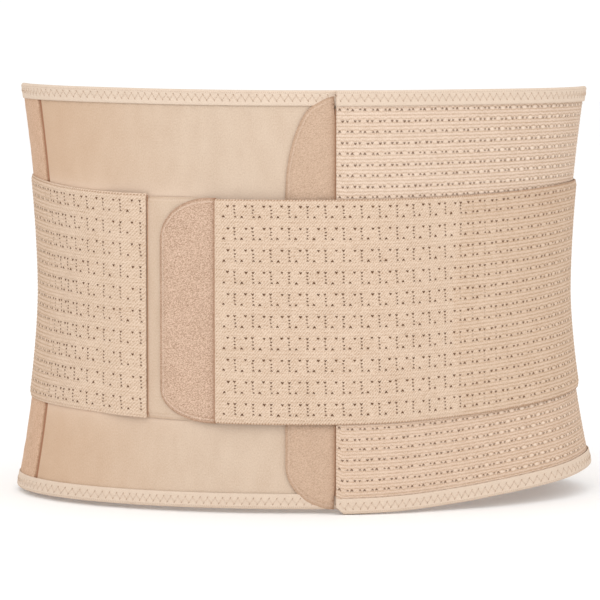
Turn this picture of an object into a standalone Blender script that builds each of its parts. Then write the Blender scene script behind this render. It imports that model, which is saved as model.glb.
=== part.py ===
"""A lumbar support belt, closed as it is worn round a waist.

The belt is a tall elastic band with a stiffened back, two front panels that overlap, and two
outer tightening straps. Metres, +Z up, the front faces -Y, and left means -X. The origin is under
the middle of the belt, on the surface that it stands on.

Every layer follows one surface: level ellipses, narrowest at the waist and flared to the ribs and
the hips. A place on the belt is an angle round it in degrees (0 at the front, 90 at the right,
180 at the back), a height, and an offset outwards from the panels' inner face.
"""

from math import cos, hypot, radians, sin, sqrt

import bmesh
import bpy
from mathutils import Vector

# The body that the belt is shaped round.
HEIGHT = 0.240
WAIST_HEIGHT = 0.120
WAIST_HALF_WIDTH = 0.1555
FRONT_DEPTH = 0.111
BACK_DEPTH = 0.105
LEFT_FLARE = (0.0098, 0.0145)  # outwards at the top edge, at the bottom edge
RIGHT_FLARE = (0.0098, 0.0178)
FRONT_FLARE = (0.005, 0.006)
BACK_FLARE = (0.007, 0.013)
FLARE_POWER = (1.75, 1.6)

# The free edges: how far each wanders from a level line.
LEFT_LIFT = 0.0025  # lower edge, at the left side and front
RIGHT_RISE = 0.0158  # lower edge, at the right side
LEFT_CREST = 0.0025  # upper edge, at the left side
RIGHT_CREST = 0.0006  # upper edge, at the right side
REAR_DROP = 0.0042  # upper edge, at the middle of the back
REAR_LEVEL = 60.0  # degrees behind the sides over which the lower edge comes back to level

# Thicknesses.
LAMINATE = 0.0016
ELASTIC = 0.0014
TAB = 0.0008
HOOK = 0.0007
TAPE = 0.0008
LINING = 0.0029
GAP = 0.0005
FIT = 0.0004  # inside a folded binding
STRAP_GAP = 0.0006

# Angles round the belt, in degrees.
STATION = 5.0
FINE_STATION = 2.0
RIGHT_HINGE = 78.0
LEFT_HINGE = -68.8
RIGHT_STRAP_HINGE = 34.0
LEFT_STRAP_HINGE = -50.0
HINGE_SLIT = 0.1  # each side of a hinge line
HINGE_SET_BACK = 0.4
RIGHT_SEAM = 132.0
LEFT_SEAM = 228.0
SEAM_SLIT = 0.1
BACK_CENTRE = 180.0
FULL_TURN = 360.0

RIGHT_PANEL_END = 6.5
LEFT_PANEL_END = 13.5
MAIN_TAB_EDGE = -3.9
MAIN_TAB_NECK = (5.7, 6.2)  # where the tab narrows to pass between the right panel's bindings
MAIN_TAB_ROOT = 11.5
RIGHT_PANEL_SETTLES = (14.5, 34.0)  # from lying on the left panel to lying on the body

LEFT_STRAP_END = -33.6
LEFT_STRAP_TAB = (-38.0, -16.0)
LEFT_STRAP_CLIMB = (-50.0, -40.0)
RIGHT_STRAP_END = -17.8
RIGHT_STRAP_TAB = (-30.35, -14.5)
RIGHT_STRAP_CLIMB = (-5.0, -13.0)
STRAP_SEWN_END = 42.0  # degrees to each side of the back's centre
ANCHOR_TAPE = (38.5, 44.5)
LINING_REACH = 45.0

# Heights of the two straps' edges at the front, and how each edge rises towards the side: by this
# much, as this power of the angle's sine.
STRAP_LOW = 0.0509
LEFT_STRAP_HIGH = 0.1808
RIGHT_STRAP_HIGH = 0.1782
LEFT_LOW_RISE = (0.0056, 2.0)
LEFT_HIGH_RISE = (0.0076, 6.8)
RIGHT_LOW_RISE = (0.0112, 2.6)
RIGHT_HIGH_RISE = (0.0069, 3.0)
STRAP_TAB_PROUD = 0.0012  # how far the right strap's tab stands past the elastic, up and down
LEFT_TAB_SHORT = 0.0016  # how far the left strap's tab stops below the elastic's upper edge

# Round corners of the tabs: width in degrees, height at the top and at the bottom.
MAIN_TAB_CORNER = (10.6, 0.060, 0.025)
RIGHT_STRAP_CORNER = (11.5, 0.025, 0.017)
LEFT_STRAP_CORNER = (8.0, 0.018, 0.018)

BINDING_WIDTH = 0.009
HOOK_MARGIN = 0.004
ROWS = 6
STRAP_ROWS = 4

# Spring-steel stays in tape tunnels on the back.
STAY_ANGLES = (154.0, 168.0, 192.0, 206.0)
STAY_HALF_WIDTH = 0.0055
STAY_INNER = 0.0029
STAY_THICKNESS = 0.0010
STAY_LOW, STAY_HIGH = 0.020, 0.2155
TIP_LEG = 0.008
TIP_WALL = 0.00045
TIP_FIT = 0.0003
POCKET_LOW, POCKET_HIGH = 0.011, 0.2245
POCKET_TAPE = 0.0007
# Half of a tunnel's section, from its crown to its sewn edge: distance across, offset.
POCKET_INSIDE = ((0.0064, 0.0050), (0.0074, 0.0021), (0.0120, 0.0021))
POCKET_OUTSIDE = ((0.0070, 0.0057), (0.0081, 0.0028), (0.0120, 0.0028))

# Colour and roughness of each material; the steel is the one metal.
MATERIALS = {
    "laminate": ((0.74, 0.55, 0.41), 0.85, 0.0),
    "elastic_mesh": ((0.73, 0.54, 0.40), 0.90, 0.0),
    "velour": ((0.66, 0.45, 0.31), 0.95, 0.0),
    "hook_tab": ((0.66, 0.46, 0.33), 0.95, 0.0),
    "hook_tape": ((0.62, 0.45, 0.33), 0.80, 0.0),
    "binding_tape": ((0.78, 0.61, 0.49), 0.85, 0.0),
    "lining": ((0.80, 0.66, 0.54), 0.95, 0.0),
    "spring_steel": ((0.56, 0.57, 0.58), 0.35, 1.0),
    "tip_plastic": ((0.85, 0.84, 0.80), 0.50, 0.0),
}


def smooth(share):
    share = min(max(share, 0.0), 1.0)
    return share * share * (3 - 2 * share)


def flared(size, flare, height):
    """A half axis of the ellipse at this height."""
    above = max(height - WAIST_HEIGHT, 0.0) / (HEIGHT - WAIST_HEIGHT)
    below = max(WAIST_HEIGHT - height, 0.0) / WAIST_HEIGHT
    return size + flare[0] * above ** FLARE_POWER[0] + flare[1] * below ** FLARE_POWER[1]


def place(angle, height, offset):
    """The point at this angle round the belt, this height, and this far outside the inner face."""
    across, ahead = sin(radians(angle)), cos(radians(angle))
    width = flared(WAIST_HALF_WIDTH, RIGHT_FLARE if across > 0 else LEFT_FLARE, height)
    if ahead > 0:
        depth = flared(FRONT_DEPTH, FRONT_FLARE, height)
    else:
        depth = flared(BACK_DEPTH, BACK_FLARE, height)
    out_x, out_y = depth * across, -width * ahead
    out = offset / hypot(out_x, out_y)
    return Vector((width * across + out_x * out, -depth * ahead + out_y * out, height))


def degrees_for(length, angle):
    """How many degrees of angle this length takes along the belt, at the waist."""
    depth = FRONT_DEPTH if cos(radians(angle)) > 0 else BACK_DEPTH
    per_radian = hypot(WAIST_HALF_WIDTH * cos(radians(angle)), depth * sin(radians(angle)))
    return length / per_radian / radians(1)


def stations(start, end, step=STATION):
    """The angles from start to end that fall on the belt's common grid, with both ends."""
    first = int(start // step) + 1
    last = int(-(-end // step))
    between = [n * step for n in range(first, last)]
    clear = step * 0.25
    return [start] + [a for a in between if start + clear < a < end - clear] + [end]


def heights(low, high, rows):
    return [low + (high - low) * row / rows for row in range(rows + 1)]


# Edges and layers, each a function of the angle.


def upper_edge(angle):
    across, ahead = sin(radians(angle)), cos(radians(angle))
    crest = RIGHT_CREST if across > 0 else LEFT_CREST
    return HEIGHT + crest * across**2 - REAR_DROP * max(-ahead, 0.0)


def left_lower_edge(angle):
    """Of the left front and side, and down to level behind it, for an angle from -180."""
    return LEFT_LIFT * smooth((angle + 90 + REAR_LEVEL) / REAR_LEVEL)


def lower_edge(angle):
    """Of the right side, the back and the left side, for an angle up to 360."""
    if angle > 180:
        return left_lower_edge(angle - FULL_TURN)
    if angle > 90:
        return RIGHT_RISE * (1 - smooth((angle - 90) / REAR_LEVEL))
    return RIGHT_RISE * max(sin(radians(angle)), 0.0) ** 2.4


def strap_edge(front, rise):
    """A strap's edge: level at the front, risen by the side and on round the back."""
    reach, power = rise

    def edge(angle):
        turned = min(abs(angle), 90.0, abs(FULL_TURN - angle))
        return front + reach * sin(radians(turned)) ** power

    return edge


left_strap_low = strap_edge(STRAP_LOW, LEFT_LOW_RISE)
left_strap_high = strap_edge(LEFT_STRAP_HIGH, LEFT_HIGH_RISE)
right_strap_low = strap_edge(STRAP_LOW, RIGHT_LOW_RISE)
right_strap_high = strap_edge(RIGHT_STRAP_HIGH, RIGHT_HIGH_RISE)

MAIN_HOOK_INNER = LAMINATE + GAP
MAIN_TAB_INNER = MAIN_HOOK_INNER + HOOK + GAP
RIGHT_PANEL_LIFT = MAIN_TAB_INNER + TAB + GAP
LEFT_STRAP_LIFT = MAIN_TAB_INNER + TAB + STRAP_GAP
STRAP_HOOK_INNER = LEFT_STRAP_LIFT
STRAP_TAB_INNER = STRAP_HOOK_INNER + HOOK + GAP
STRAP_OVER_TAB = STRAP_TAB_INNER + TAB + STRAP_GAP
STRAP_ON_SIDE = LAMINATE + STRAP_GAP


def right_panel_inner(angle):
    start, end = RIGHT_PANEL_SETTLES
    return RIGHT_PANEL_LIFT * (1 - smooth((angle - start) / (end - start)))


def left_strap_inner(angle):
    start, end = LEFT_STRAP_CLIMB
    climbed = smooth((angle - start) / (end - start))
    return STRAP_ON_SIDE + (LEFT_STRAP_LIFT - STRAP_ON_SIDE) * climbed


def right_strap_inner(angle):
    over_panel = right_panel_inner(angle) + STRAP_ON_SIDE
    start, end = RIGHT_STRAP_CLIMB
    climbed = smooth((angle - start) / (end - start))
    return over_panel + (STRAP_OVER_TAB - over_panel) * climbed


def flat_on_body(_angle):
    return 0.0


def constant(value):
    return lambda _angle: value


# Bodies: the belt's back stays put, and each moving body turns on an upright axis.


def hinge_point(angle, height, offset):
    """An upright axis outside every layer there, and just behind the line where they part."""
    back_a_little = HINGE_SET_BACK if angle > 0 else -HINGE_SET_BACK
    point = place(angle + back_a_little, height, offset)
    return Vector((point.x, point.y, 0.0))


BINDING_OUTSIDE = LAMINATE + FIT + TAPE + GAP
HINGES = {
    "root": Vector((0, 0, 0)),
    "left_wing": hinge_point(LEFT_HINGE, 0.0, BINDING_OUTSIDE),
    "right_wing": hinge_point(RIGHT_HINGE, lower_edge(RIGHT_HINGE), BINDING_OUTSIDE),
    "left_strap": hinge_point(
        LEFT_STRAP_HINGE, left_strap_low(LEFT_STRAP_HINGE), STRAP_ON_SIDE + ELASTIC + GAP
    ),
    "right_strap": hinge_point(
        RIGHT_STRAP_HINGE, right_strap_low(RIGHT_STRAP_HINGE), STRAP_ON_SIDE + ELASTIC + GAP
    ),
}
CARRIED_BY = {
    "left_wing": "root",
    "right_wing": "root",
    "left_strap": "left_wing",
    "right_strap": "right_wing",
}


def clear_scene():
    for obj in list(bpy.data.objects):
        bpy.data.objects.remove(obj)


def make_empties():
    """One empty on each body's axis, each carried by the body that it turns on."""
    empties = {}
    for body, point in HINGES.items():
        empty = bpy.data.objects.new(body, None)
        bpy.context.collection.objects.link(empty)
        carrier = CARRIED_BY.get(body)
        empty.parent = empties.get(carrier)
        empty.location = point - HINGES.get(carrier, Vector())
        empties[body] = empty
    return empties


def make_materials():
    made = {}
    for name, (colour, roughness, metallic) in MATERIALS.items():
        material = bpy.data.materials.new(name)
        material.use_nodes = True
        shader = material.node_tree.nodes["Principled BSDF"]
        shader.inputs["Base Color"].default_value = (*colour, 1.0)
        shader.inputs["Roughness"].default_value = roughness
        shader.inputs["Metallic"].default_value = metallic
        made[name] = material
    return made


def add_solid(name, body, material, inside, outside):
    """A closed solid between two skins, each a grid of points: rows of the same length."""
    bm = bmesh.new()
    skins = [
        [[bm.verts.new(point - HINGES[body]) for point in line] for line in skin]
        for skin in (inside, outside)
    ]
    for skin in skins:
        for line, following in zip(skin, skin[1:]):
            for i in range(len(line) - 1):
                bm.faces.new((line[i], line[i + 1], following[i + 1], following[i]))
    edges_in, edges_out = (rim(skin) for skin in skins)
    for i, vert in enumerate(edges_in):
        bm.faces.new((edges_in[i - 1], vert, edges_out[i], edges_out[i - 1]))
    bmesh.ops.recalc_face_normals(bm, faces=bm.faces)
    mesh = bpy.data.meshes.new(name)
    bm.to_mesh(mesh)
    bm.free()
    mesh.materials.append(materials[material])
    mesh.shade_smooth()
    mesh.set_sharp_from_angle(angle=radians(35))
    solid = bpy.data.objects.new(name, mesh)
    solid.parent = empties[body]
    bpy.context.collection.objects.link(solid)


def rim(grid):
    """The grid's outer points, once round."""
    first, last = grid[0], grid[-1]
    side = [line[-1] for line in grid[1:-1]]
    back = [line[0] for line in grid[-2:0:-1]]
    return [*first, *side, *reversed(last), *back]


def add_layer(name, body, material, angles, low, high, inner, thickness, rows=ROWS):
    """A layer of the belt over these angles, between two edges, this far off the inner face."""
    skins = [
        [[place(a, z, inner(a) + extra) for z in heights(low(a), high(a), rows)] for a in angles]
        for extra in (0.0, thickness)
    ]
    add_solid(name, body, material, *skins)


def add_binding(name, body, angles, edge, inward, inner, thickness):
    """A tape folded over an edge of a layer. Inward is +1 for a lower edge, -1 for an upper."""
    inside, outside = [], []
    for a in angles:
        free = edge(a) + inward * BINDING_WIDTH
        near, far = inner(a) - FIT, inner(a) + thickness + FIT
        fold = edge(a) + inward * TAPE
        corners = ((near, free), (near, fold), (far, fold), (far, free))
        inside.append([place(a, z, off) for off, z in corners])
        near, far, fold = near - TAPE, far + TAPE, edge(a)
        corners = ((near, free), (near, fold), (far, fold), (far, free))
        outside.append([place(a, z, off) for off, z in corners])
    add_solid(name, body, "binding_tape", inside, outside)


def tucked(edge, inward):
    """Where a layer stops inside the binding on this edge."""
    return lambda angle: edge(angle) + inward * (TAPE + FIT)


def inset(edge, amount):
    return lambda angle: edge(angle) + amount


def with_corner(edge, tab_edge, width, height, inward):
    """An edge that rounds off in a quarter ellipse towards the tab's free side."""

    def rounded(angle):
        left = 1 - min(max((angle - tab_edge) / width, 0.0), 1.0)
        return edge(angle) + inward * height * (1 - sqrt(1 - left * left))

    return rounded


def back():
    bands = (
        ("back_panel", RIGHT_SEAM + SEAM_SLIT, LEFT_SEAM - SEAM_SLIT, "velour"),
        ("right_side_panel", RIGHT_HINGE + HINGE_SLIT, RIGHT_SEAM - SEAM_SLIT, "elastic_mesh"),
        ("left_side_panel", LEFT_SEAM + SEAM_SLIT, FULL_TURN + LEFT_HINGE - HINGE_SLIT, "velour"),
    )
    low, high = tucked(lower_edge, 1), tucked(upper_edge, -1)
    for name, start, end, material in bands:
        angles = stations(start, end)
        add_layer(name, "root", material, angles, low, high, flat_on_body, LAMINATE)
    angles = stations(BACK_CENTRE - LINING_REACH, BACK_CENTRE + LINING_REACH)
    clear = BINDING_WIDTH + GAP
    low, high = inset(lower_edge, clear), inset(upper_edge, -clear)
    add_layer("back_lining", "root", "lining", angles, low, high, constant(-GAP - LINING), LINING)
    angles = stations(RIGHT_HINGE + HINGE_SLIT, FULL_TURN + LEFT_HINGE - HINGE_SLIT)
    add_binding("back_top_binding", "root", angles, upper_edge, -1, flat_on_body, LAMINATE)
    add_binding("back_bottom_binding", "root", angles, lower_edge, 1, flat_on_body, LAMINATE)


def stays():
    for number, angle in enumerate(STAY_ANGLES, 1):
        turn = degrees_for(1.0, angle)

        def across(distance, height, offset, angle=angle, turn=turn):
            return place(angle + distance * turn, height, offset)

        skins = []
        for half in (POCKET_INSIDE, POCKET_OUTSIDE):
            section = [(-d, off) for d, off in reversed(half)] + list(half)
            rows = heights(POCKET_LOW, POCKET_HIGH, ROWS)
            skins.append([[across(d, z, off) for d, off in section] for z in rows])
        add_solid(f"stay_pocket_{number}", "root", "velour", *skins)

        skins = []
        for offset in (STAY_INNER, STAY_INNER + STAY_THICKNESS):
            sides = (-STAY_HALF_WIDTH, STAY_HALF_WIDTH)
            rows = heights(STAY_LOW, STAY_HIGH, ROWS)
            skins.append([[across(d, z, offset) for d in sides] for z in rows])
        add_solid(f"stay_{number}", "root", "spring_steel", *skins)

        for end, edge, inward in (("bottom", STAY_LOW, 1), ("top", STAY_HIGH, -1)):
            skins = []
            for wall in (0.0, TIP_WALL):
                near = STAY_INNER - TIP_FIT - wall
                far = STAY_INNER + STAY_THICKNESS + TIP_FIT + wall
                fold = edge - inward * (TIP_FIT + wall)
                mouth = edge + inward * TIP_LEG
                corners = ((near, mouth), (near, fold), (far, fold), (far, mouth))
                skins.append([[across(d, z, off) for off, z in corners] for d in sides])
            add_solid(f"stay_{number}_tip_{end}", "root", "tip_plastic", *skins)


def left_wing():
    end = LEFT_PANEL_END
    clear = degrees_for(TAPE + FIT, end)
    start = LEFT_HINGE + HINGE_SLIT
    low, high = tucked(left_lower_edge, 1), tucked(upper_edge, -1)
    panel = stations(start, end - clear)
    add_layer(
        "left_front_panel", "left_wing", "laminate", panel, low, high, flat_on_body, LAMINATE
    )
    angles = stations(start, end)
    for name, edge, inward in (
        ("left_top_binding", upper_edge, -1),
        ("left_bottom_binding", left_lower_edge, 1),
    ):
        add_binding(name, "left_wing", angles, edge, inward, flat_on_body, LAMINATE)

    # The upright binding on the panel's free end, between the two level ones.
    open_edge = end - degrees_for(BINDING_WIDTH, end)
    rows = heights(
        left_lower_edge(end) + BINDING_WIDTH + GAP, upper_edge(end) - BINDING_WIDTH - GAP, ROWS
    )
    skins = []
    for wall in (0.0, TAPE):
        near, far = -FIT - wall, LAMINATE + FIT + wall
        fold = end - degrees_for(TAPE - wall, end)
        corners = ((open_edge, near), (fold, near), (fold, far), (open_edge, far))
        skins.append([[place(a, z, off) for a, off in corners] for z in rows])
    add_solid("left_end_binding", "left_wing", "binding_tape", *skins)


def right_wing():
    start, end = RIGHT_PANEL_END, RIGHT_HINGE - HINGE_SLIT
    low, high = tucked(lower_edge, 1), tucked(upper_edge, -1)
    angles = stations(start, end)
    add_layer(
        "right_front_panel", "right_wing", "elastic_mesh", angles, low, high, right_panel_inner, ELASTIC
    )
    for name, edge, inward in (
        ("right_top_binding", upper_edge, -1),
        ("right_bottom_binding", lower_edge, 1),
    ):
        add_binding(name, "right_wing", angles, edge, inward, right_panel_inner, ELASTIC)

    # The tab is D-shaped, as tall as the belt, and sewn under the elastic between its bindings.
    width, top_height, bottom_height = MAIN_TAB_CORNER
    round_low = with_corner(left_lower_edge, MAIN_TAB_EDGE, width, bottom_height, 1)
    round_high = with_corner(upper_edge, MAIN_TAB_EDGE, width, top_height, -1)
    wide, narrow = MAIN_TAB_NECK
    neck = BINDING_WIDTH + 3 * GAP

    def tab_low(angle):
        return round_low(angle) + (neck if angle >= narrow else 0.0)

    def tab_high(angle):
        return round_high(angle) - (neck if angle >= narrow else 0.0)

    angles = stations(MAIN_TAB_EDGE, wide, FINE_STATION) + stations(narrow, MAIN_TAB_ROOT)
    inner = constant(MAIN_TAB_INNER)
    add_layer("main_hook_tab", "right_wing", "hook_tab", angles, tab_low, tab_high, inner, TAB)

    # Its hook tape is the same shape, a margin smaller all round.
    shrink = degrees_for(HOOK_MARGIN, 0.0)
    angles = stations(MAIN_TAB_EDGE + shrink, wide, FINE_STATION)
    edges = [
        with_corner(inset(edge, inward * neck), angles[0], width - shrink, height - HOOK_MARGIN, inward)
        for edge, height, inward in (
            (left_lower_edge, bottom_height, 1),
            (upper_edge, top_height, -1),
        )
    ]
    inner = constant(MAIN_HOOK_INNER)
    add_layer("main_hook_patch", "right_wing", "hook_tape", angles, *edges, inner, HOOK)


def strap_parts(side):
    """A strap's rear, middle and front lengths, one on each of the bodies that it crosses."""
    if side == "right":
        low, high, inner = right_strap_low, right_strap_high, right_strap_inner
        parts = (
            ("root", "rear", RIGHT_HINGE + HINGE_SLIT, BACK_CENTRE - STRAP_SEWN_END),
            ("right_wing", "mid", RIGHT_STRAP_HINGE + HINGE_SLIT, RIGHT_HINGE - HINGE_SLIT),
            ("right_strap", "front", RIGHT_STRAP_END, RIGHT_STRAP_HINGE - HINGE_SLIT),
        )
    else:
        low, high, inner = left_strap_low, left_strap_high, left_strap_inner
        hinge = FULL_TURN + LEFT_HINGE
        parts = (
            ("root", "rear", BACK_CENTRE + STRAP_SEWN_END, hinge - HINGE_SLIT),
            ("left_wing", "mid", LEFT_HINGE + HINGE_SLIT, LEFT_STRAP_HINGE - HINGE_SLIT),
            ("left_strap", "front", LEFT_STRAP_HINGE + HINGE_SLIT, LEFT_STRAP_END),
        )
    for body, part, start, end in parts:
        layer = constant(STRAP_ON_SIDE) if part == "rear" else inner
        name = f"{side}_strap_{part}"
        angles = stations(start, end)
        add_layer(name, body, "elastic_mesh", angles, low, high, layer, ELASTIC, STRAP_ROWS)


def anchor_tapes():
    """A tape over each strap's sewn end on the back."""
    near, far = ANCHOR_TAPE
    inner = constant(STRAP_ON_SIDE + ELASTIC + GAP)
    for side, low, high, start, end in (
        ("right", right_strap_low, right_strap_high, BACK_CENTRE - far, BACK_CENTRE - near),
        ("left", left_strap_low, left_strap_high, BACK_CENTRE + near, BACK_CENTRE + far),
    ):
        name, angles = f"{side}_anchor_tape", stations(start, end)
        edges = inset(low, -HOOK_MARGIN), inset(high, HOOK_MARGIN)
        add_layer(name, "root", "binding_tape", angles, *edges, inner, TAPE, STRAP_ROWS)


def mirrored(edge):
    """The same edge for a tab whose free side is at the larger angle."""
    return lambda angle: edge(-angle)


def strap_tabs():
    """Each strap's round-ended tab, and the hook tape on the tab's inner face."""
    width, top_height, bottom_height = RIGHT_STRAP_CORNER
    edge, root = RIGHT_STRAP_TAB
    low, high = inset(right_strap_low, -STRAP_TAB_PROUD), inset(right_strap_high, STRAP_TAB_PROUD)
    edges = (
        with_corner(low, edge, width, bottom_height, 1),
        with_corner(high, edge, width, top_height, -1),
    )
    angles = stations(edge, root, FINE_STATION)
    inner = constant(STRAP_TAB_INNER)
    add_layer("right_strap_tab", "right_strap", "hook_tab", angles, *edges, inner, TAB, STRAP_ROWS)
    shrink = degrees_for(HOOK_MARGIN, edge)
    edges = (
        with_corner(inset(low, HOOK_MARGIN), edge + shrink, width - shrink, bottom_height, 1),
        with_corner(inset(high, -HOOK_MARGIN), edge + shrink, width - shrink, top_height, -1),
    )
    angles = stations(edge + shrink, RIGHT_STRAP_END, FINE_STATION)
    inner = constant(STRAP_HOOK_INNER)
    add_layer(
        "right_strap_hook_patch", "right_strap", "hook_tape", angles, *edges, inner, HOOK, STRAP_ROWS
    )

    width, top_height, bottom_height = LEFT_STRAP_CORNER
    root, edge = LEFT_STRAP_TAB
    low, high = mirrored(left_strap_low), mirrored(inset(left_strap_high, -LEFT_TAB_SHORT))
    for name, material, margin, start, layer, thickness in (
        ("left_strap_tab", "laminate", 0.0, root, MAIN_TAB_INNER, TAB),
        ("left_strap_hook_patch", "hook_tape", HOOK_MARGIN, LEFT_STRAP_END, MAIN_HOOK_INNER, HOOK),
    ):
        end = edge - degrees_for(margin, edge)
        edges = (
            mirrored(with_corner(inset(low, margin), -end, width, bottom_height, 1)),
            mirrored(with_corner(inset(high, -margin), -end, width, top_height, -1)),
        )
        angles = stations(start, end, FINE_STATION)
        add_layer(
            name, "left_strap", material, angles, *edges, constant(layer), thickness, STRAP_ROWS
        )


clear_scene()
materials = make_materials()
empties = make_empties()
back()
stays()
left_wing()
right_wing()
strap_parts("left")
strap_parts("right")
anchor_tapes()
strap_tabs()
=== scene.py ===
"""The looks of the lumbar support belt: woven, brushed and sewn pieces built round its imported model.

Every piece lies on one surface, the same as the model's: level ellipses, narrowest at the waist and
flared to the ribs and the hips. A place on the belt is an angle round it in degrees (0 at the
front, 90 at the right, 180 at the back), a height, and an offset outwards from the panels' inner
face. In the model, a line at one angle leans with the flare; here it is upright at the front, like
the real belt's seams. Metres, +Z up, the front faces -Y, and left means -X.
"""

from functools import partialmethod, reduce
from math import pi, radians

import bpy
import numpy as np
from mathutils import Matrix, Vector


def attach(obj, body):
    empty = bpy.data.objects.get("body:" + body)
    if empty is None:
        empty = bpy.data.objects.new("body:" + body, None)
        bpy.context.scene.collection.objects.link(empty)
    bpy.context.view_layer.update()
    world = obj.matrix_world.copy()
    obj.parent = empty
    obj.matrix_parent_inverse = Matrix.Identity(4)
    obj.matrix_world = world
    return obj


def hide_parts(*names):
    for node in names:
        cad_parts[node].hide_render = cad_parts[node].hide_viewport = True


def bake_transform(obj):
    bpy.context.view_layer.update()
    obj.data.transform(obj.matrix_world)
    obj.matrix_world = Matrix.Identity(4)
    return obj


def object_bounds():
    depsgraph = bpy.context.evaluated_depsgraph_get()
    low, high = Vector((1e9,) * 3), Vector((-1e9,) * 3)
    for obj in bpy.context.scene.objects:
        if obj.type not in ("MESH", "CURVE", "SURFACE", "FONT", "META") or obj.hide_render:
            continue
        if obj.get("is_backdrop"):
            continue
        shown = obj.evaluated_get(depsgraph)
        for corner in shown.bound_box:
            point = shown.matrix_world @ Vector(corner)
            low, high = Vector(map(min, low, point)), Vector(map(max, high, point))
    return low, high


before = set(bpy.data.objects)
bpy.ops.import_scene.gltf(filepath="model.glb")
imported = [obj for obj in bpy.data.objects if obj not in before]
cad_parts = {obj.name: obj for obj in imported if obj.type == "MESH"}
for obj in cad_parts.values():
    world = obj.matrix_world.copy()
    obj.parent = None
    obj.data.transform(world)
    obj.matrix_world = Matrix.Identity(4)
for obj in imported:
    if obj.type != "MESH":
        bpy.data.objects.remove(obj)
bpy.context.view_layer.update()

MM = 0.001

# The body that the belt is shaped round.
HEIGHT = 0.240
WAIST_HEIGHT = 0.120
WAIST_HALF_WIDTH = 0.1555
FRONT_DEPTH = 0.111
BACK_DEPTH = 0.105
LEFT_FLARE = (0.0098, 0.0145)  # outwards at the top edge, at the bottom edge
RIGHT_FLARE = (0.0098, 0.0178)
FRONT_FLARE = (0.005, 0.006)
BACK_FLARE = (0.007, 0.013)
FLARE_POWER = (1.75, 1.6)
UPRIGHT = (40.0, 67.0)  # lines are upright up to the first angle, and lean from the second on

# The free edges: how far each wanders from a level line.
LEFT_LIFT = 0.0025
RIGHT_RISE = 0.0158
LEFT_CREST = 0.0025
RIGHT_CREST = 0.0006
REAR_DROP = 0.0042
REAR_LEVEL = 60.0

# Thicknesses.
LAMINATE = 0.0016
ELASTIC = 0.0014
TAB = 0.0008
HOOK = 0.0007
TAPE = 0.0008
LINING = 0.0029
GAP = 0.0005
FIT = 0.0004
IN_TAPE = TAPE + FIT  # how far a panel's edge lies inside the fold of its binding
STRAP_GAP = 0.0006

# Angles round the belt, in degrees.
RIGHT_HINGE = 78.0
LEFT_HINGE = -68.8
RIGHT_STRAP_HINGE = 34.0
LEFT_STRAP_HINGE = -50.0
RIGHT_SEAM = 132.0
LEFT_SEAM = 228.0
SEAM_HALF = 0.62  # half the dark joining tape's width that shows
BACK_CENTRE = 180.0
FULL_TURN = 360.0
RIGHT_PANEL_END = 6.5
LEFT_PANEL_END = 13.5
MAIN_TAB_EDGE = -3.9
MAIN_TAB_ROOT = 11.5
MAIN_TAB_NECK = (6.10, 6.38)  # where it narrows to pass between the right panel's bindings
MAIN_HOOK_ROOT = 5.6
RIGHT_PANEL_SETTLES = (14.5, 34.0)
LEFT_STRAP_END = -34.4
LEFT_STRAP_TAB = (-38.0, -16.0)
LEFT_STRAP_CLIMB = (-50.0, -40.0)
RIGHT_STRAP_END = -18.3
RIGHT_STRAP_TAB = (-31.0, -14.5)
RIGHT_STRAP_CLIMB = (-5.0, -13.0)
STRAP_SEWN_END = 42.0
ANCHOR_TAPE = (38.5, 44.5)
LINING_REACH = 45.0
OVERLAP = 0.12  # how far each panel runs past its seam with the back
STAY_ANGLES = (154.0, 168.0, 192.0, 206.0)
POCKET_LOW, POCKET_HIGH = 0.011, 0.2245

# Heights of the two straps' edges at the front, and how each edge rises towards the side: by this
# much, as this power of the angle's sine.
STRAP_LOW = 0.0509
LEFT_STRAP_HIGH = 0.1808
RIGHT_STRAP_HIGH = 0.1782
LEFT_LOW_RISE = (0.0056, 2.0)
LEFT_HIGH_RISE = (0.0076, 6.8)
RIGHT_LOW_RISE = (0.0112, 2.6)
RIGHT_HIGH_RISE = (0.0069, 3.0)
STRAP_TAB_PROUD = 0.0006
LEFT_TAB_SHORT = 0.0016

# Round corners of the tabs: width in degrees, less than 0 where the tab's free edge is at its larger
# angle, then height at the top and at the bottom.
MAIN_TAB_CORNER = (10.6, 0.060, 0.025)
RIGHT_STRAP_CORNER = (11.5, 0.025, 0.017)
LEFT_STRAP_CORNER = (-8.0, 0.018, 0.018)

BINDING_WIDTH = 0.009
FOLD_TURN = 0.0018  # how far in from the fold a binding's section turns
CUT_HEIGHT, CUT_REACH = 0.0038, 0.02  # of the right panel's cut lower corner
CUT_ANGLE = 1.7
HOOK_MARGIN = 0.004
HOOK_PITCH = 0.0024
HOOK_STEP = 0.002
PAINTED_LIGHT_REACH = 0.0042  # how far beyond the straps the laminate is painted paler: painted light against the straps' shadow
WELT = 0.0010  # how far the tabs' raised welt, which carries a painted highlight, lies outside their pressed line
LINING_CHANNELS = 8
POCKET_SEAM, POCKET_FOOT, POCKET_CROWN = 0.0098, 0.0084, 0.0066  # from a stay pocket's middle

# The layers, as offsets of their inner faces.
MAIN_HOOK_INNER = LAMINATE + GAP
MAIN_TAB_INNER = MAIN_HOOK_INNER + HOOK + GAP
RIGHT_PANEL_LIFT = MAIN_TAB_INNER + TAB + GAP
LEFT_STRAP_LIFT = MAIN_TAB_INNER + TAB + STRAP_GAP
STRAP_HOOK_INNER = LEFT_STRAP_LIFT
STRAP_TAB_INNER = STRAP_HOOK_INNER + HOOK + GAP
STRAP_OVER_TAB = STRAP_TAB_INNER + TAB + STRAP_GAP
STRAP_ON_SIDE = LAMINATE + STRAP_GAP

# Where the fabric bends when a panel or a strap is opened: from the fixed end to the free end.
RIGHT_BEND = (RIGHT_HINGE, 59.0)
LEFT_BEND = (LEFT_HINGE, -50.6)
RIGHT_STRAP_BEND = (RIGHT_STRAP_HINGE, 20.5)
LEFT_STRAP_BEND = (LEFT_STRAP_HINGE, -36.0)

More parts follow.
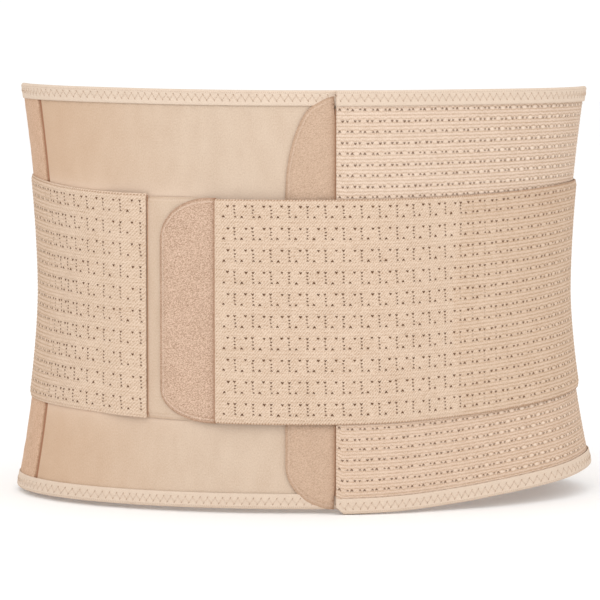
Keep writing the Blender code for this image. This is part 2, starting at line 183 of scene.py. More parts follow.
# The elastic's knit repeats in motifs: six ribs and two rows of eyelets to a motif's height.
RIBS = 6
MOTIF_HEIGHT = 0.01245
STRETCHED_MOTIF = 0.0099
LEFT_MOTIF = 0.0130
LEFT_RELAXED_MOTIF = 0.0068
RELAXED_MOTIF = 0.0079
PANEL_MOTIF = 0.00697
ROWS_PER_MOTIF = 24
COLUMN_PHASES = (0.0, 0.19, 0.39, 0.58, 0.77)
SWELL = 0.42  # how far slack ribs part between eyelets, in ribs
EYELET_GAP = 0.385  # between the two upright lines of eyelets
STRAP_TOP_PHASE = -0.285
PICOT_ROWS = (STRAP_TOP_PHASE + 0.03, 9.91)  # small loops along the straps' edges
STRAP_END_PHASE = -0.754
LEFT_END_PHASE = 60.645  # far from the right strap's, whose sewn end has no eyelets
PLAIN_MOTIF = -0.5
NOWHERE = -99.0
PANEL_END_PHASE = -1.5
PANEL_ROWS = (-1.30, 18.55)  # the motif rows at the right panel's upper and lower edges
PANEL_COARSE = (4.6, 13.6)  # the straps hide the rows between these
ANCHOR_BOW = 2.6  # how far the right strap's anchor line bows towards its free end, in degrees
STRAP_HUG = 0.0005

# The angles over which the knit relaxes towards the sides. Those of the left strap are on the left.
PANEL_RELAXES = (20.0, 60.0)
RIGHT_STRAP_RELAXES = (40.0, 70.0)
LEFT_STRAP_RELAXES = (58.0, 78.0)
LEFT_STRAP_CROWDS = (46.0, 62.0)
BETWEEN_STRAPS = (-28.0, -24.0)

# Sewing.
STITCH_PERIOD = 0.0044
NEEDLE_ROWS = (0.0030, 0.0061)  # from the folded edge
NEEDLE_PHASES = (0.0, 0.5)
ANCHOR_NEEDLE_ROWS = (0.0022, 0.0046)
THREAD = 0.00013

# How finely the meshes are made.
COLUMN_STEP = 0.0018
END_SQUEEZE = 0.45  # a layer's thickness at its ends, as a share
SHARP_ANGLE = radians(62)
EDGE_ARC = np.radians((45.0, 90.0, 135.0))


def smooth(share):
    share = np.clip(share, 0.0, 1.0)
    return share * share * (3 - 2 * share)


def ease(value, start, end):
    """0 at start, 1 at end, and smooth between them."""
    return smooth((value - start) / (end - start))


def bell(distance, width):
    return np.exp(-((distance / width) ** 2))


def fade(distance, reach):
    """1 up to no distance, and falling away past it."""
    return np.exp(-np.clip(distance, 0, None) / reach)


def nearest(value, *places):
    """How far a value is from the nearest of these places, which repeat at every whole number."""
    return np.minimum.reduce([np.abs((value - at + 0.5) % 1.0 - 0.5) for at in places])


def flared(size, flare, height):
    """A half axis of the ellipse at this height."""
    above = np.clip(height - WAIST_HEIGHT, 0.0, None) / (HEIGHT - WAIST_HEIGHT)
    below = np.clip(WAIST_HEIGHT - height, 0.0, None) / WAIST_HEIGHT
    return size + flare[0] * above ** FLARE_POWER[0] + flare[1] * below ** FLARE_POWER[1]


def place(angle, height, offset):
    """The points at these angles, heights and offsets, which broadcast together. In front, the
    angle is that at the waist of an upright line through the point."""
    angle, height, offset = np.broadcast_arrays(angle, height, offset)
    left, right = (flared(WAIST_HALF_WIDTH, flare, height) for flare in (LEFT_FLARE, RIGHT_FLARE))
    width = np.where(np.sin(np.radians(angle)) > 0, right, left)
    upright_to, leaning_from = UPRIGHT
    turned = (angle + BACK_CENTRE) % FULL_TURN - BACK_CENTRE
    turned = np.clip(turned, -leaning_from, leaning_from)
    upright = (WAIST_HALF_WIDTH / width - 1) * np.tan(np.radians(turned))
    upright = np.degrees(upright) * (1 - ease(np.abs(turned), upright_to, leaning_from))
    across, ahead = np.sin(np.radians(angle + upright)), np.cos(np.radians(angle + upright))
    front = flared(FRONT_DEPTH, FRONT_FLARE, height)
    depth = np.where(ahead > 0, front, flared(BACK_DEPTH, BACK_FLARE, height))
    out_x, out_y = depth * across, -width * ahead
    out = offset / np.hypot(out_x, out_y)
    return np.stack([width * across + out_x * out, -depth * ahead + out_y * out, height], axis=-1)


# How far round the belt each angle is, at the waist.
ROUND = np.arange(-180.0, 360.1, 0.25)
STEPS = np.linalg.norm(np.diff(place(ROUND, WAIST_HEIGHT, 0.0), axis=0), axis=1)
ARC = np.concatenate([[0.0], np.cumsum(STEPS)])
ARC -= np.interp(0.0, ROUND, ARC)


def arc(angle):
    return np.interp(angle, ROUND, ARC)


def angle_at(length):
    return np.interp(length, ARC, ROUND)


def spaced(start, end, step):
    """Angles from start to end, this far apart along the belt at most."""
    count = int(np.ceil((arc(end) - arc(start)) / step)) + 1
    return angle_at(np.linspace(arc(start), arc(end), count))


def spaced_for_edges(start, end, first, last, close):
    """Angles from start to end, closer together over the first and the last few degrees."""
    pieces = [spaced(start + first, end - last, COLUMN_STEP)]
    if first:
        pieces.insert(0, spaced(start, start + first, close)[:-1])
    if last:
        pieces.append(spaced(end - last, end, close)[1:])
    return np.concatenate(pieces)


def upper_edge(angle):
    across, ahead = np.sin(np.radians(angle)), np.cos(np.radians(angle))
    crest = np.where(across > 0, RIGHT_CREST, LEFT_CREST)
    return HEIGHT + crest * across**2 - REAR_DROP * np.clip(-ahead, 0.0, None)


def left_lower_edge(angle):
    """Of the left front and side, and down to level behind it, for an angle from -180."""
    return LEFT_LIFT * smooth((angle + 90 + REAR_LEVEL) / REAR_LEVEL)


def lower_edge(angle):
    """Of the right side, the back and the left side, for an angle up to 360."""
    ahead = RIGHT_RISE * np.clip(np.sin(np.radians(angle)), 0.0, None) ** 2.4
    behind = RIGHT_RISE * (1 - smooth((angle - 90) / REAR_LEVEL))
    right = np.where(angle > 90, behind, ahead)
    return np.where(angle > BACK_CENTRE, left_lower_edge(angle - FULL_TURN), right)


def strap_edge(front, rise):
    """A strap's edge: level at the front, risen by the side and on round the back."""
    reach, power = rise

    def edge(angle):
        turned = np.minimum(np.minimum(np.abs(angle), 90.0), np.abs(FULL_TURN - angle))
        return front + reach * np.sin(np.radians(turned)) ** power

    return edge


left_strap_low = strap_edge(STRAP_LOW, LEFT_LOW_RISE)
left_strap_high = strap_edge(LEFT_STRAP_HIGH, LEFT_HIGH_RISE)
right_strap_low = strap_edge(STRAP_LOW, RIGHT_LOW_RISE)
right_strap_high = strap_edge(RIGHT_STRAP_HIGH, RIGHT_HIGH_RISE)


def right_panel_inner(angle):
    return RIGHT_PANEL_LIFT * (1 - ease(angle, *RIGHT_PANEL_SETTLES))


def left_strap_inner(angle):
    return STRAP_ON_SIDE + (LEFT_STRAP_LIFT - STRAP_ON_SIDE) * ease(angle, *LEFT_STRAP_CLIMB)


def right_strap_inner(angle):
    over_panel = right_panel_inner(angle) + STRAP_ON_SIDE
    return over_panel + (STRAP_OVER_TAB - over_panel) * ease(angle, *RIGHT_STRAP_CLIMB)


def constant(value):
    return lambda angle: value + 0.0 * angle


def inset(edge, amount):
    return lambda angle: edge(angle) + amount


def drawn_in(low, high, amount):
    """Both edges, moved towards each other by this much."""
    return inset(low, amount), inset(high, -amount)


def with_corner(edge, tab_edge, width, height, inward):
    """An edge that rounds off in a quarter ellipse towards the tab's free side."""

    def rounded(angle):
        left = 1 - np.clip((angle - tab_edge) / width, 0.0, 1.0)
        return edge(angle) + inward * height * (1 - np.sqrt(1 - left * left))

    return rounded


def round_corners(low, high, tab_edge, corner):
    """A tab's lower and upper edges with both corners of its free side rounded off."""
    width, top_height, bottom_height = corner
    return (
        with_corner(low, tab_edge, width, bottom_height, 1),
        with_corner(high, tab_edge, width, top_height, -1),
    )


def uneven(x, y, size, seed):
    """Smooth noise from -1 to 1 over a plane, with features of about this size."""
    x, y = np.broadcast_arrays(np.asarray(x) / size, np.asarray(y) / size)
    x0, y0 = np.floor(x), np.floor(y)

    def corner(i, j):
        wild = np.sin((x0 + i) * 127.1 + (y0 + j) * 311.7 + seed * 74.7) * 43758.5453
        return 2 * (wild - np.floor(wild)) - 1

    s, t = smooth(x - x0), smooth(y - y0)
    low = corner(0, 0) * (1 - s) + corner(1, 0) * s
    high = corner(0, 1) * (1 - s) + corner(1, 1) * s
    return low * (1 - t) + high * t


# Meshes.


def pairs(u, v):
    """One pair of values for each point, from arrays that broadcast together."""
    return np.stack(np.broadcast_arrays(u, v), -1).reshape(-1, 2)


def make_object(name, points, faces, uvs, materials, attributes, face_materials=None):
    """uvs are pairs for each point, as the fabric lies flat, in the units that its material reads."""
    mesh = bpy.data.meshes.new(name)
    mesh.from_pydata(points, [], faces)
    corners = np.empty(len(mesh.loops), np.int32)
    mesh.loops.foreach_get("vertex_index", corners)
    layer = mesh.uv_layers.new(name="cloth")
    layer.data.foreach_set("uv", np.asarray(uvs, np.float32)[corners].ravel())
    for label, values in attributes.items():
        attribute = mesh.attributes.new(label, "FLOAT", "POINT")
        attribute.data.foreach_set("value", np.asarray(values, np.float32))
    for material in materials:
        mesh.materials.append(material)
    if face_materials is not None:
        mesh.polygons.foreach_set("material_index", np.asarray(face_materials, np.int32))
    mesh.shade_smooth()
    mesh.set_sharp_from_angle(angle=SHARP_ANGLE)
    obj = bpy.data.objects.new(name, mesh)
    bpy.context.collection.objects.link(obj)
    return obj


def loft(points, caps):
    """The points and faces of a skin over closed loops, one loop to a row of points."""
    count, length = points.shape[:2]
    index = np.arange(count * length).reshape(count, length)
    here, after = index[:-1], index[1:]
    quads = np.stack([here, after, np.roll(after, -1, 1), np.roll(here, -1, 1)], -1).reshape(-1, 4)
    first = [[int(index[0, j]) for j in cap] for cap in caps]
    last = [[int(index[-1, j]) for j in reversed(cap)] for cap in caps]
    return points.reshape(-1, 3), quads.tolist() + first + last


def strip(face, lining):
    """The points and faces of a strip between two grids of points, closed all round."""
    loops = np.concatenate([face, lining[:, ::-1]], axis=1)
    length = loops.shape[1]
    return loft(loops, [[j, j + 1, length - 2 - j, length - 1 - j] for j in range(length // 2 - 1)])


def between(low, high, angles, shares):
    """Rows of heights from one edge to the other, at these shares of the way, or this many rows."""
    if isinstance(shares, int):
        shares = np.linspace(0, 1, shares)
    low, high = low(np.asarray(angles)), high(np.asarray(angles))
    return low[:, None] + (high - low)[:, None] * np.asarray(shares)[None, :]


def flat(a, z):
    """How the fabric lies: millimetres along it, and millimetres up."""
    return arc(a) / MM, z / MM


def unshaded(a, z):
    return 0.0 * a


def cloth(name, material, angles, heights, inner, thickness, uv=flat, *, relief=None, inner_relief=None,
          every=4, round_ends=(True, True), shade=unshaded, attributes=None):
    """A layer with rounded edges. angles has one value to a column, and heights one row of values
    to a column; inner, relief and the rest are functions of angle and height. The inner face takes
    only some of the rows."""
    angles = np.asarray(angles, float)
    step = np.sign(angles[-1] - angles[0]) * (angle_at(arc(angles[0]) + 0.3 * thickness) - angles[0])
    squeeze = np.ones(len(angles))
    if round_ends[0] and abs(angles[1] - angles[0]) > abs(step):
        angles = np.insert(angles, 1, angles[0] + step)
        heights = np.insert(heights, 1, heights[0], axis=0)
        squeeze = np.insert(squeeze, 0, END_SQUEEZE)
    if round_ends[1] and abs(angles[-1] - angles[-2]) > abs(step):
        angles = np.insert(angles, -1, angles[-1] - step)
        heights = np.insert(heights, -1, heights[-1], axis=0)
        squeeze = np.append(squeeze, END_SQUEEZE)
    a = angles[:, None]
    rows = heights.shape[1]
    kept = sorted({*range(0, rows, every), rows - 1})
    slim = squeeze[:, None] * thickness

    def offsets(height):
        return inner(a) + 0 * height + (thickness - slim) / 2

    outside = offsets(heights) + slim
    if relief:
        outside = outside + relief(a, heights)
    back = heights[:, kept[::-1]]
    inside = offsets(back)
    if inner_relief:
        inside = inside - inner_relief(a, back)

    def rounded(edge, face, lining, way):
        """Rows round an edge, from the outer face to the inner one if way is 1."""
        middle, half = (face + lining) / 2, (face - lining) / 2
        return edge + way * half * np.sin(EDGE_ARC), middle + way * half * np.cos(EDGE_ARC)

    over = rounded(heights[:, -1:], outside[:, -1:], inside[:, :1], 1)
    under = rounded(heights[:, :1], outside[:, :1], inside[:, -1:], -1)
    z = np.concatenate([heights, over[0], back, under[0]], axis=1)
    off = np.concatenate([outside, over[1], inside, under[1]], axis=1)
    a_all = np.broadcast_to(a, z.shape)

    length, arcs = z.shape[1], len(EDGE_ARC)
    inner_at = {row: rows + arcs + number for number, row in enumerate(kept[::-1])}
    caps = [[*range(low, high + 1), inner_at[high], inner_at[low]] for low, high in zip(kept, kept[1:])]
    caps.append([*range(rows - 1, rows + arcs + 1)])
    caps.append([*range(length - arcs - 1, length), 0])
    points, faces = loft(place(a_all, z, off), caps)
    read = {"shade": shade, **(attributes or {})}
    values = {label: np.broadcast_to(value(a_all, z), z.shape).ravel() for label, value in read.items()}
    return make_object(name, points, faces, pairs(*uv(a_all, z)), [material], values)


# Shaders.

RAMP_INPUTS = ("Value", "From Min", "From Max", "To Min", "To Max")
MIX_INPUTS = (0, 6, 7)  # a colour Mix node's factor and its two colours
SHEEN_TINT = (0.85, 0.62, 0.45)


def feed(tree, socket, value):
    """Gives an input its value, or links it to the term or the socket that it reads."""
    if isinstance(value, Term):
        value = value.socket
    if isinstance(value, tuple):
        socket.default_value = (*value, 1.0)
    elif isinstance(value, (int, float)):
        socket.default_value = value
    else:
        tree.links.new(value, socket)


class Term:
    """A number in a shader. Arithmetic on terms adds math nodes."""

    def __init__(self, tree, socket):
        self.tree, self.socket = tree, socket

    def op(self, kind, *others):
        made = self.tree.nodes.new("ShaderNodeMath")
        made.operation = kind
        for socket, value in zip(made.inputs, (self, *others)):
            feed(self.tree, socket, value)
        return Term(self.tree, made.outputs[0])

    __add__ = partialmethod(op, "ADD")
    __sub__ = partialmethod(op, "SUBTRACT")
    __mul__ = partialmethod(op, "MULTIPLY")
    __truediv__ = partialmethod(op, "DIVIDE")
    fract = partialmethod(op, "FRACT")
    floor = partialmethod(op, "FLOOR")
    abs = partialmethod(op, "ABSOLUTE")
    root = partialmethod(op, "SQRT")

    def wave(self):
        """From 0 to 1 and back, once for each whole number, 1 at whole numbers."""
        return (self * (2 * pi)).op("COSINE") * 0.5 + 0.5

    def ramp(self, low, high, start=0.0, end=1.0):
        """Smoothly from start at low to end at high."""
        made = self.tree.nodes.new("ShaderNodeMapRange")
        made.interpolation_type = "SMOOTHSTEP"
        for label, value in zip(RAMP_INPUTS, (self, low, high, start, end)):
            feed(self.tree, made.inputs[label], value)
        return Term(self.tree, made.outputs["Result"])


def highest(*terms):
    """The highest of these terms."""
    return reduce(lambda one, other: one.op("MAXIMUM", other), terms)


def spot(x, y, inner, outer, strength=1.0):
    """This strength within the inner distance of the origin, and nothing beyond the outer one."""
    return (x * x + y * y).root().ramp(inner, outer, strength, 0.0)


class Fabric:
    """A fabric's material while it is being made. Heights are in millimetres."""

    def __init__(self, name, roughness=0.9, sheen=0.06, metallic=0.0):
        self.material = bpy.data.materials.new(name)
        self.material.use_nodes = True
        self.tree = self.material.node_tree
        self.shader = self.tree.nodes["Principled BSDF"]
        for label, value in (
            ("Roughness", roughness), ("Metallic", metallic), ("Specular IOR Level", 0.12),
            ("Sheen Weight", sheen), ("Sheen Roughness", 0.5), ("Sheen Tint", SHEEN_TINT),
        ):
            feed(self.tree, self.shader.inputs[label], value)
        coordinates = self.node("ShaderNodeUVMap")
        coordinates.uv_map = "cloth"
        self.u, self.v = self.split(coordinates.outputs["UV"], "XY")

    def node(self, kind, inputs=()):
        made = self.tree.nodes.new(kind)
        for label, value in inputs:
            feed(self.tree, made.inputs[label], value)
        return made

    def split(self, vector, axes):
        made = self.node("ShaderNodeSeparateXYZ", [("Vector", vector)])
        return [Term(self.tree, made.outputs[axis]) for axis in axes]

    def attribute(self, name):
        made = self.node("ShaderNodeAttribute")
        made.attribute_name = name
        return Term(self.tree, made.outputs["Fac"])

    def vector(self, x, y, z=0.0):
        return self.node("ShaderNodeCombineXYZ", zip("XYZ", (x, y, z))).outputs["Vector"]

    def noise(self, x, y, detail=3.0, distortion=0.0, seed=0.0):
        """From 0 to 1, with one feature to a unit of x and y."""
        made = self.node("ShaderNodeTexNoise", [
            ("Vector", self.vector(x, y, seed)), ("Scale", 1.0), ("Detail", detail),
            ("Distortion", distortion),
        ])
        return Term(self.tree, made.outputs["Fac"])

    def chance(self, x, y, seed=0.0):
        """One value from 0 to 1 for each whole x and y."""
        made = self.node("ShaderNodeTexWhiteNoise", [("Vector", self.vector(x, y, seed))])
        return Term(self.tree, made.outputs["Value"])

    def mix(self, share, first, second):
        """A colour between two, each a triple or a socket."""
        made = self.node("ShaderNodeMix")
        made.data_type = "RGBA"
        for number, value in zip(MIX_INPUTS, (share, first, second)):
            feed(self.tree, made.inputs[number], value)
        return made.outputs[2]

    def shaded(self, colour):
        """Browner where the piece's shade is above 0."""
        return self.mix(self.attribute("shade"), colour, BROWN)

    def finish(self, colour, height):
        bump = self.node("ShaderNodeBump", [("Distance", MM), ("Height", height)])
        feed(self.tree, self.shader.inputs["Base Color"], colour)
        feed(self.tree, self.shader.inputs["Normal"], bump.outputs["Normal"])
        return self.material


# the colour mixed in for painted shade where a piece's shade is above 0, and for the straps' picot loops
BROWN = (0.30, 0.155, 0.085)
EYELET = (0.110, 0.038, 0.008)
# the colour of painted light, mixed in where a piece's shade is below 0
PAINTED_LIGHT = (0.76, 0.60, 0.48)
PAINTED_HIGHLIGHT = (0.90, 0.76, 0.63)
WARM = (0.487, 0.274, 0.142)


def elastic_material(name, base, dark, picot_rows=(), warmth=0.0, faint=0.0, plain=NOWHERE):
    """A perforated ribbed knit, warmer by this much at its lower edge, whose eyelets close up by
    this much where it is slack, and start after the plain motif. u and v count motifs, and slack
    is 0 where the knit is stretched."""
    cloth_ = Fabric(name, roughness=0.88)
    u, v = cloth_.u, cloth_.v
    slack, pitch = cloth_.attribute("slack"), cloth_.attribute("pitch")
    stretched = slack * -1.0 + 1.0

    def spots(column, row, inner, outer, seed, lean=0.0):
        """1 in one eyelet of each motif. lean opens it downwards or upwards."""
        x, y = u - (column - 0.5), v - (row - 0.5)
        cell = (x.floor(), y.floor())
        shift = cloth_.chance(*cell, seed=seed) - 0.5
        size = cloth_.chance(*cell, seed=seed + 0.5) * 0.25 + 0.85
        across = (x.fract() - 0.5 + shift * 0.05) * pitch
        down = (y.fract() - 0.5 + shift * 0.03) * (MOTIF_HEIGHT / MM)
        down = down - across.abs() * lean
        away = (across * across * 0.65 + down * down * 1.35).root() / size
        return away.ramp(inner, outer, 1.0, 0.0)

    holes = highest(
        spots(0.0, 0.035, 0.34, 0.84, 1, -0.75), spots(0.38, 0.035, 0.30, 0.78, 2, -0.75) * 0.95,
        spots(0.42, 0.475, 0.24, 0.74, 3, 0.75) * 0.9, spots(0.77, 0.475, 0.34, 0.84, 4, 0.85),
    )
    dots = highest(spots(0.39, 0.175, 0.20, 0.64, 5), spots(0.40, 0.325, 0.20, 0.64, 6))
    dots = dots * stretched.ramp(0.3, 0.9) * 0.92
    eyelets = highest(holes, dots) * u.ramp(plain, plain + 0.02)

    past = u - ((v * 2.0 + 0.5).floor() * 0.5).fract() * 0.77
    beside = ((past + 0.5).fract() - 0.5).abs().op("MINIMUM", ((past + 0.115).fract() - 0.5).abs())
    lens = beside.ramp(0.0, 0.3)
    above = (v * (4 * pi)).op("SINE")
    swell = (lens - 0.35) * slack * (above * 0.65 - above.abs() * 0.35) * SWELL
    groove = (v * float(RIBS) - swell + 0.5).wave()
    groove = groove * groove
    # painted highlight on the loops that swell between the eyelets where the knit is slack
    bead_highlight = (v * 2.0).wave().ramp(0.72, 0.95) * lens.ramp(0.25, 1.0) * slack.ramp(0.6, 1.0)
    wobble = cloth_.noise(u * 5.0, v * 5.0, seed=7.0)
    strand = ((u + v) * float(RIBS) + wobble * 0.5).wave()
    fuzz = cloth_.noise(u * 15.0, v * 17.0, detail=3.0, seed=3.0) - 0.5
    patches = cloth_.noise(u * 0.6, v * 1.1, detail=2.0, seed=11.0) - 0.5
    stitch = (u * float(2 * RIBS) + (v * float(RIBS)).floor() * 0.5 + wobble * 0.7).wave()

    blotches = cloth_.noise(u * 3.1, v * 4.7, detail=2.0, seed=17.0) - 0.5
    # the tone darkens in the rib grooves, more where the knit is slack: painted shade in the grooves
    tone = groove * (slack * 0.52 + 0.18) + strand * (stretched * 0.34 + 0.05) + fuzz * 2.0
    tone = tone + patches * 0.35 + blotches * 0.55
    tone = tone + stitch * (slack * 0.20 + 0.03) + 0.02
    colour = cloth_.mix(tone, base, dark)
    colour = cloth_.mix(v.ramp(6.0, 13.0, 0.0, warmth) + slack * 0.13, colour, WARM)
    if picot_rows:
        x = (u * float(RIBS)).fract() - 0.5
        loops = [spot(x, (v - row) * float(RIBS) * 1.3, 0.10, 0.45, 0.6) for row in picot_rows]
        colour = cloth_.mix(highest(*loops), colour, BROWN)
    colour = cloth_.mix(bead_highlight * 0.40, colour, PAINTED_HIGHLIGHT)
    # the eyelets are painted dark: partly the shade inside the holes, partly what shows through them
    colour = cloth_.mix(eyelets * (slack * slack * -faint + 0.95), colour, EYELET)
    height = strand * stretched * -0.16 - fuzz * 0.35 - groove * 0.08 - eyelets * 0.55
    return cloth_.finish(cloth_.shaded(colour), height - stitch * slack * 0.10)


def smooth_material(name, base, dark):
    """A fine warp-knit face laminated on foam, paler where its shade is below 0. u and v are
    millimetres."""
    cloth_ = Fabric(name, roughness=0.85)
    u, v = cloth_.u, cloth_.v
    wale = (u / 0.62 + cloth_.noise(u * 0.2, v * 0.08, seed=2.0) * 1.5).wave()
    course = (v / 0.55 + (u / 0.62).floor() * 0.5).wave()
    grain = cloth_.noise(u * 1.6, v * 1.1, detail=4.0, seed=5.0)
    clouds = cloth_.noise(u * 0.11, v * 0.05, detail=3.0, seed=8.0)
    tone = wale * 0.22 + course * 0.14 + (grain - 0.5) * 2.1 + (clouds - 0.5) * 0.9 + 0.22
    colour = cloth_.mix(tone, base, dark)
    # darker and warmer towards the left: painted shade where the panel turns away from the light
    colour = cloth_.shaded(cloth_.mix(u.ramp(-40.0, -190.0, 0.0, 0.46), colour, WARM))
    colour = cloth_.mix(cloth_.attribute("shade") * -1.0, colour, PAINTED_LIGHT)
    return cloth_.finish(colour, wale * 0.035 + course * 0.02 + grain * 0.10)


def brushed_material(name, base, dark, lean=0.35, contrast=1.0, streaks=0.0):
    """A brushed pile in small swirls, paler where its shade is below 0. u and v are millimetres."""
    cloth_ = Fabric(name, roughness=0.95, sheen=0.12)
    u, v = cloth_.u, cloth_.v
    along, over = u + v * lean, v - u * lean
    tufts = cloth_.noise(along * 1.1, over * 1.5, detail=5.0, distortion=0.9, seed=1.0)
    hairs = cloth_.noise(along * 3.2, over * 1.8, detail=3.0, distortion=0.5, seed=4.0)
    clouds = cloth_.noise(u * 0.09, v * 0.07, detail=2.0, seed=9.0)
    tone = (tufts - 0.5) * (2.4 * contrast) + (hairs - 0.5) * (1.5 * contrast)
    tone = tone + (clouds - 0.5) * 0.4 + 0.4
    if streaks:
        tone = tone + (cloth_.noise(u * 0.8, v * 0.25, detail=3.0, seed=14.0) - 0.5) * streaks
    colour = cloth_.mix(tone, base, dark)
    colour = cloth_.mix(cloth_.attribute("shade") * -1.0, colour, PAINTED_LIGHT)
    return cloth_.finish(cloth_.shaded(colour), tufts * 0.40 + hairs * 0.22)


def tape_material(name, base, dark):
    """A soft folded tape with needle marks. u is millimetres along it, v from its folded edge."""
    cloth_ = Fabric(name, roughness=0.86)
    u, v = cloth_.u, cloth_.v
    period = STITCH_PERIOD / MM

    def mark(row, phase):
        x = ((u / period - phase + 0.5).fract() - 0.5) * period
        y = v.abs() - row / MM
        slant = x - y * 0.4
        return (slant * slant * 1.6 + y * y * 0.5).root().ramp(0.18, 0.62, 0.75, 0.0)

    marks = highest(*(mark(row, phase) for row, phase in zip(NEEDLE_ROWS, NEEDLE_PHASES)))
    rib = (v / 0.5).wave()
    pick = (u / 0.42 + (v / 0.5).floor() * 0.5).wave()
    grain = cloth_.noise(u * 1.9, v * 1.9, detail=4.0, seed=6.0)
    clouds = cloth_.noise(u * 0.12, v * 0.12, detail=2.0, seed=3.0)
    stipple = spot((u / 1.1).fract() - 0.5, v.abs() - 1.5, 0.10, 0.42, 0.30)
    tone = rib * 0.16 + pick * 0.14 + (grain - 0.5) * 1.7 + (clouds - 0.5) * 0.5 + 0.20
    colour = cloth_.mix(tone, base, dark)
    colour = cloth_.mix(highest(marks, stipple), colour, (0.30, 0.17, 0.10))
    height = rib * 0.04 + pick * 0.03 + grain * 0.08 - marks * 0.25
    return cloth_.finish(cloth_.shaded(colour), height)


def thread_material(name, base, dark):
    """Twisted sewing thread. u is millimetres along it, v round it."""
    cloth_ = Fabric(name, roughness=0.7)
    twist = (cloth_.u / 0.35 + cloth_.v).wave()
    fluff = cloth_.noise(cloth_.u * 3.0, cloth_.v * 3.0, seed=2.0)
    colour = cloth_.mix((twist * 0.6 + fluff * 0.4).ramp(0.0, 1.0), dark, base)
    return cloth_.finish(colour, twist * 0.04)


def hook_tape_material(name, base, dark):
    """A woven ground and clear-ish nylon hooks. u and v are millimetres."""
    cloth_ = Fabric(name, roughness=0.55, sheen=0.0)
    u, v = cloth_.u, cloth_.v
    weave = (u / 0.5).wave() * (v / 0.5 + (u / 0.5).floor() * 0.5).wave()
    grain = cloth_.noise(u * 1.2, v * 1.2, seed=1.0)
    colour = cloth_.mix((weave * 0.5 + grain * 0.5).ramp(0.2, 0.9), dark, base)
    return cloth_.finish(colour, weave * 0.06 + grain * 0.04)


def solid_material(name, base, dark, roughness, metallic, streaks):
    """Rolled steel or moulded plastic, read in the object's own coordinates."""
    cloth_ = Fabric(name, roughness=roughness, sheen=0.0, metallic=metallic)
    x, y, z = cloth_.split(cloth_.node("ShaderNodeTexCoord").outputs["Object"], "XYZ")
    grain = cloth_.noise((x + y) * 900.0, z * streaks, detail=4.0, seed=1.0)
    wear = cloth_.noise((x + y) * 60.0, z * 60.0, detail=3.0, seed=6.0)
    colour = cloth_.mix((grain * 0.6 + wear * 0.5).ramp(0.25, 0.9), dark, base)
    cloth_.shader.inputs["Specular IOR Level"].default_value = 0.5
    worn = wear.ramp(0.2, 0.8, roughness - 0.08, roughness + 0.12)
    feed(cloth_.tree, cloth_.shader.inputs["Roughness"], worn)
    return cloth_.finish(colour, grain * 0.02)


STRAP_ELASTIC = elastic_material("strap_elastic", (0.690, 0.538, 0.415), (0.415, 0.270, 0.172),
                                 picot_rows=PICOT_ROWS, faint=0.30, plain=PLAIN_MOTIF)
PANEL_ELASTIC = elastic_material("panel_elastic", (0.770, 0.625, 0.510), (0.480, 0.335, 0.235),
                                 warmth=0.13, faint=0.44)
SMOOTH = smooth_material("smooth_laminate", (0.605, 0.480, 0.372), (0.505, 0.378, 0.280))
SIDE_PILE = brushed_material("side_pile", (0.640, 0.440, 0.312), (0.440, 0.265, 0.165),
                             lean=0.1, streaks=1.3)
BACK_PILE = brushed_material("back_pile", (0.660, 0.490, 0.365), (0.510, 0.350, 0.245),
                             lean=0.1, contrast=1.2, streaks=0.8)
TAB_PILE = brushed_material("tab_pile", (0.600, 0.430, 0.315), (0.430, 0.290, 0.200), contrast=1.3)
FLEECE_TAB = brushed_material("fleece_tab", (0.660, 0.475, 0.360), (0.365, 0.233, 0.155), contrast=1.85)
TAPE_CLOTH = tape_material("binding_cloth", (0.690, 0.565, 0.455), (0.560, 0.430, 0.330))
THREAD_YARN = thread_material("sewing_thread", (0.690, 0.565, 0.460), (0.520, 0.380, 0.275))
SEAM_YARN = thread_material("seam_thread", (0.50, 0.270, 0.165), (0.36, 0.190, 0.110))
JOIN_TAPE = thread_material("joining_tape", (0.38, 0.195, 0.115), (0.29, 0.140, 0.080))
STITCH_YARN = thread_material("stitch_thread", (0.560, 0.385, 0.265), (0.400, 0.255, 0.165))
LINING_PILE = brushed_material("lining_pile", (0.760, 0.620, 0.500), (0.560, 0.410, 0.300),
                               lean=0.0, contrast=1.5)
HOOKS = hook_tape_material("nylon_hooks", (0.62, 0.45, 0.33), (0.42, 0.28, 0.19))
STEEL = solid_material("rolled_steel", (0.62, 0.63, 0.64), (0.42, 0.43, 0.45), 0.34, 1.0, 9000.0)
PLASTIC = solid_material("moulded_tip", (0.85, 0.84, 0.80), (0.74, 0.72, 0.68), 0.45, 0.0, 400.0)


# The elastic's shape.


def motif_counter(pitch_at):
    """How many motifs round the belt each angle is, for a pitch that depends on the angle."""
    middle = (ROUND[1:] + ROUND[:-1]) / 2
    return np.concatenate([[0.0], np.cumsum(STEPS / pitch_at(middle))])


def strap_pitch(angle):
    """Stretched between the straps' free ends and their anchor lines, and relaxed behind them."""
    right = smooth((angle - RIGHT_STRAP_HINGE + 1.5) / 3.0)
    on_right = STRETCHED_MOTIF + (RELAXED_MOTIF - STRETCHED_MOTIF) * right
    on_left = LEFT_MOTIF + (LEFT_RELAXED_MOTIF - LEFT_MOTIF) * ease(-angle, *LEFT_STRAP_CROWDS)
    return on_left + (on_right - on_left) * ease(angle, *BETWEEN_STRAPS)


def strap_slack(angle, height):
    """The right strap's anchor line bows towards its free end at half height."""
    share = ((height - STRAP_LOW) / (RIGHT_STRAP_HIGH - STRAP_LOW)).clip(0, 1)
    bowed = ANCHOR_BOW * np.sin(pi * share)
    right = 0.45 * smooth((angle - RIGHT_STRAP_HINGE + bowed) / 2.4)
    right = right + 0.36 * ease(angle, *RIGHT_STRAP_RELAXES)
    return np.maximum(right, 0.75 * ease(-angle, *LEFT_STRAP_RELAXES))


def panel_pitch(angle):
    return PANEL_MOTIF + 0 * angle


def panel_slack(angle, height):
    return 0.62 + 0.38 * ease(angle, *PANEL_RELAXES) + 0.0 * height


STRAP_COUNT = motif_counter(strap_pitch)
PANEL_COUNT = motif_counter(panel_pitch)


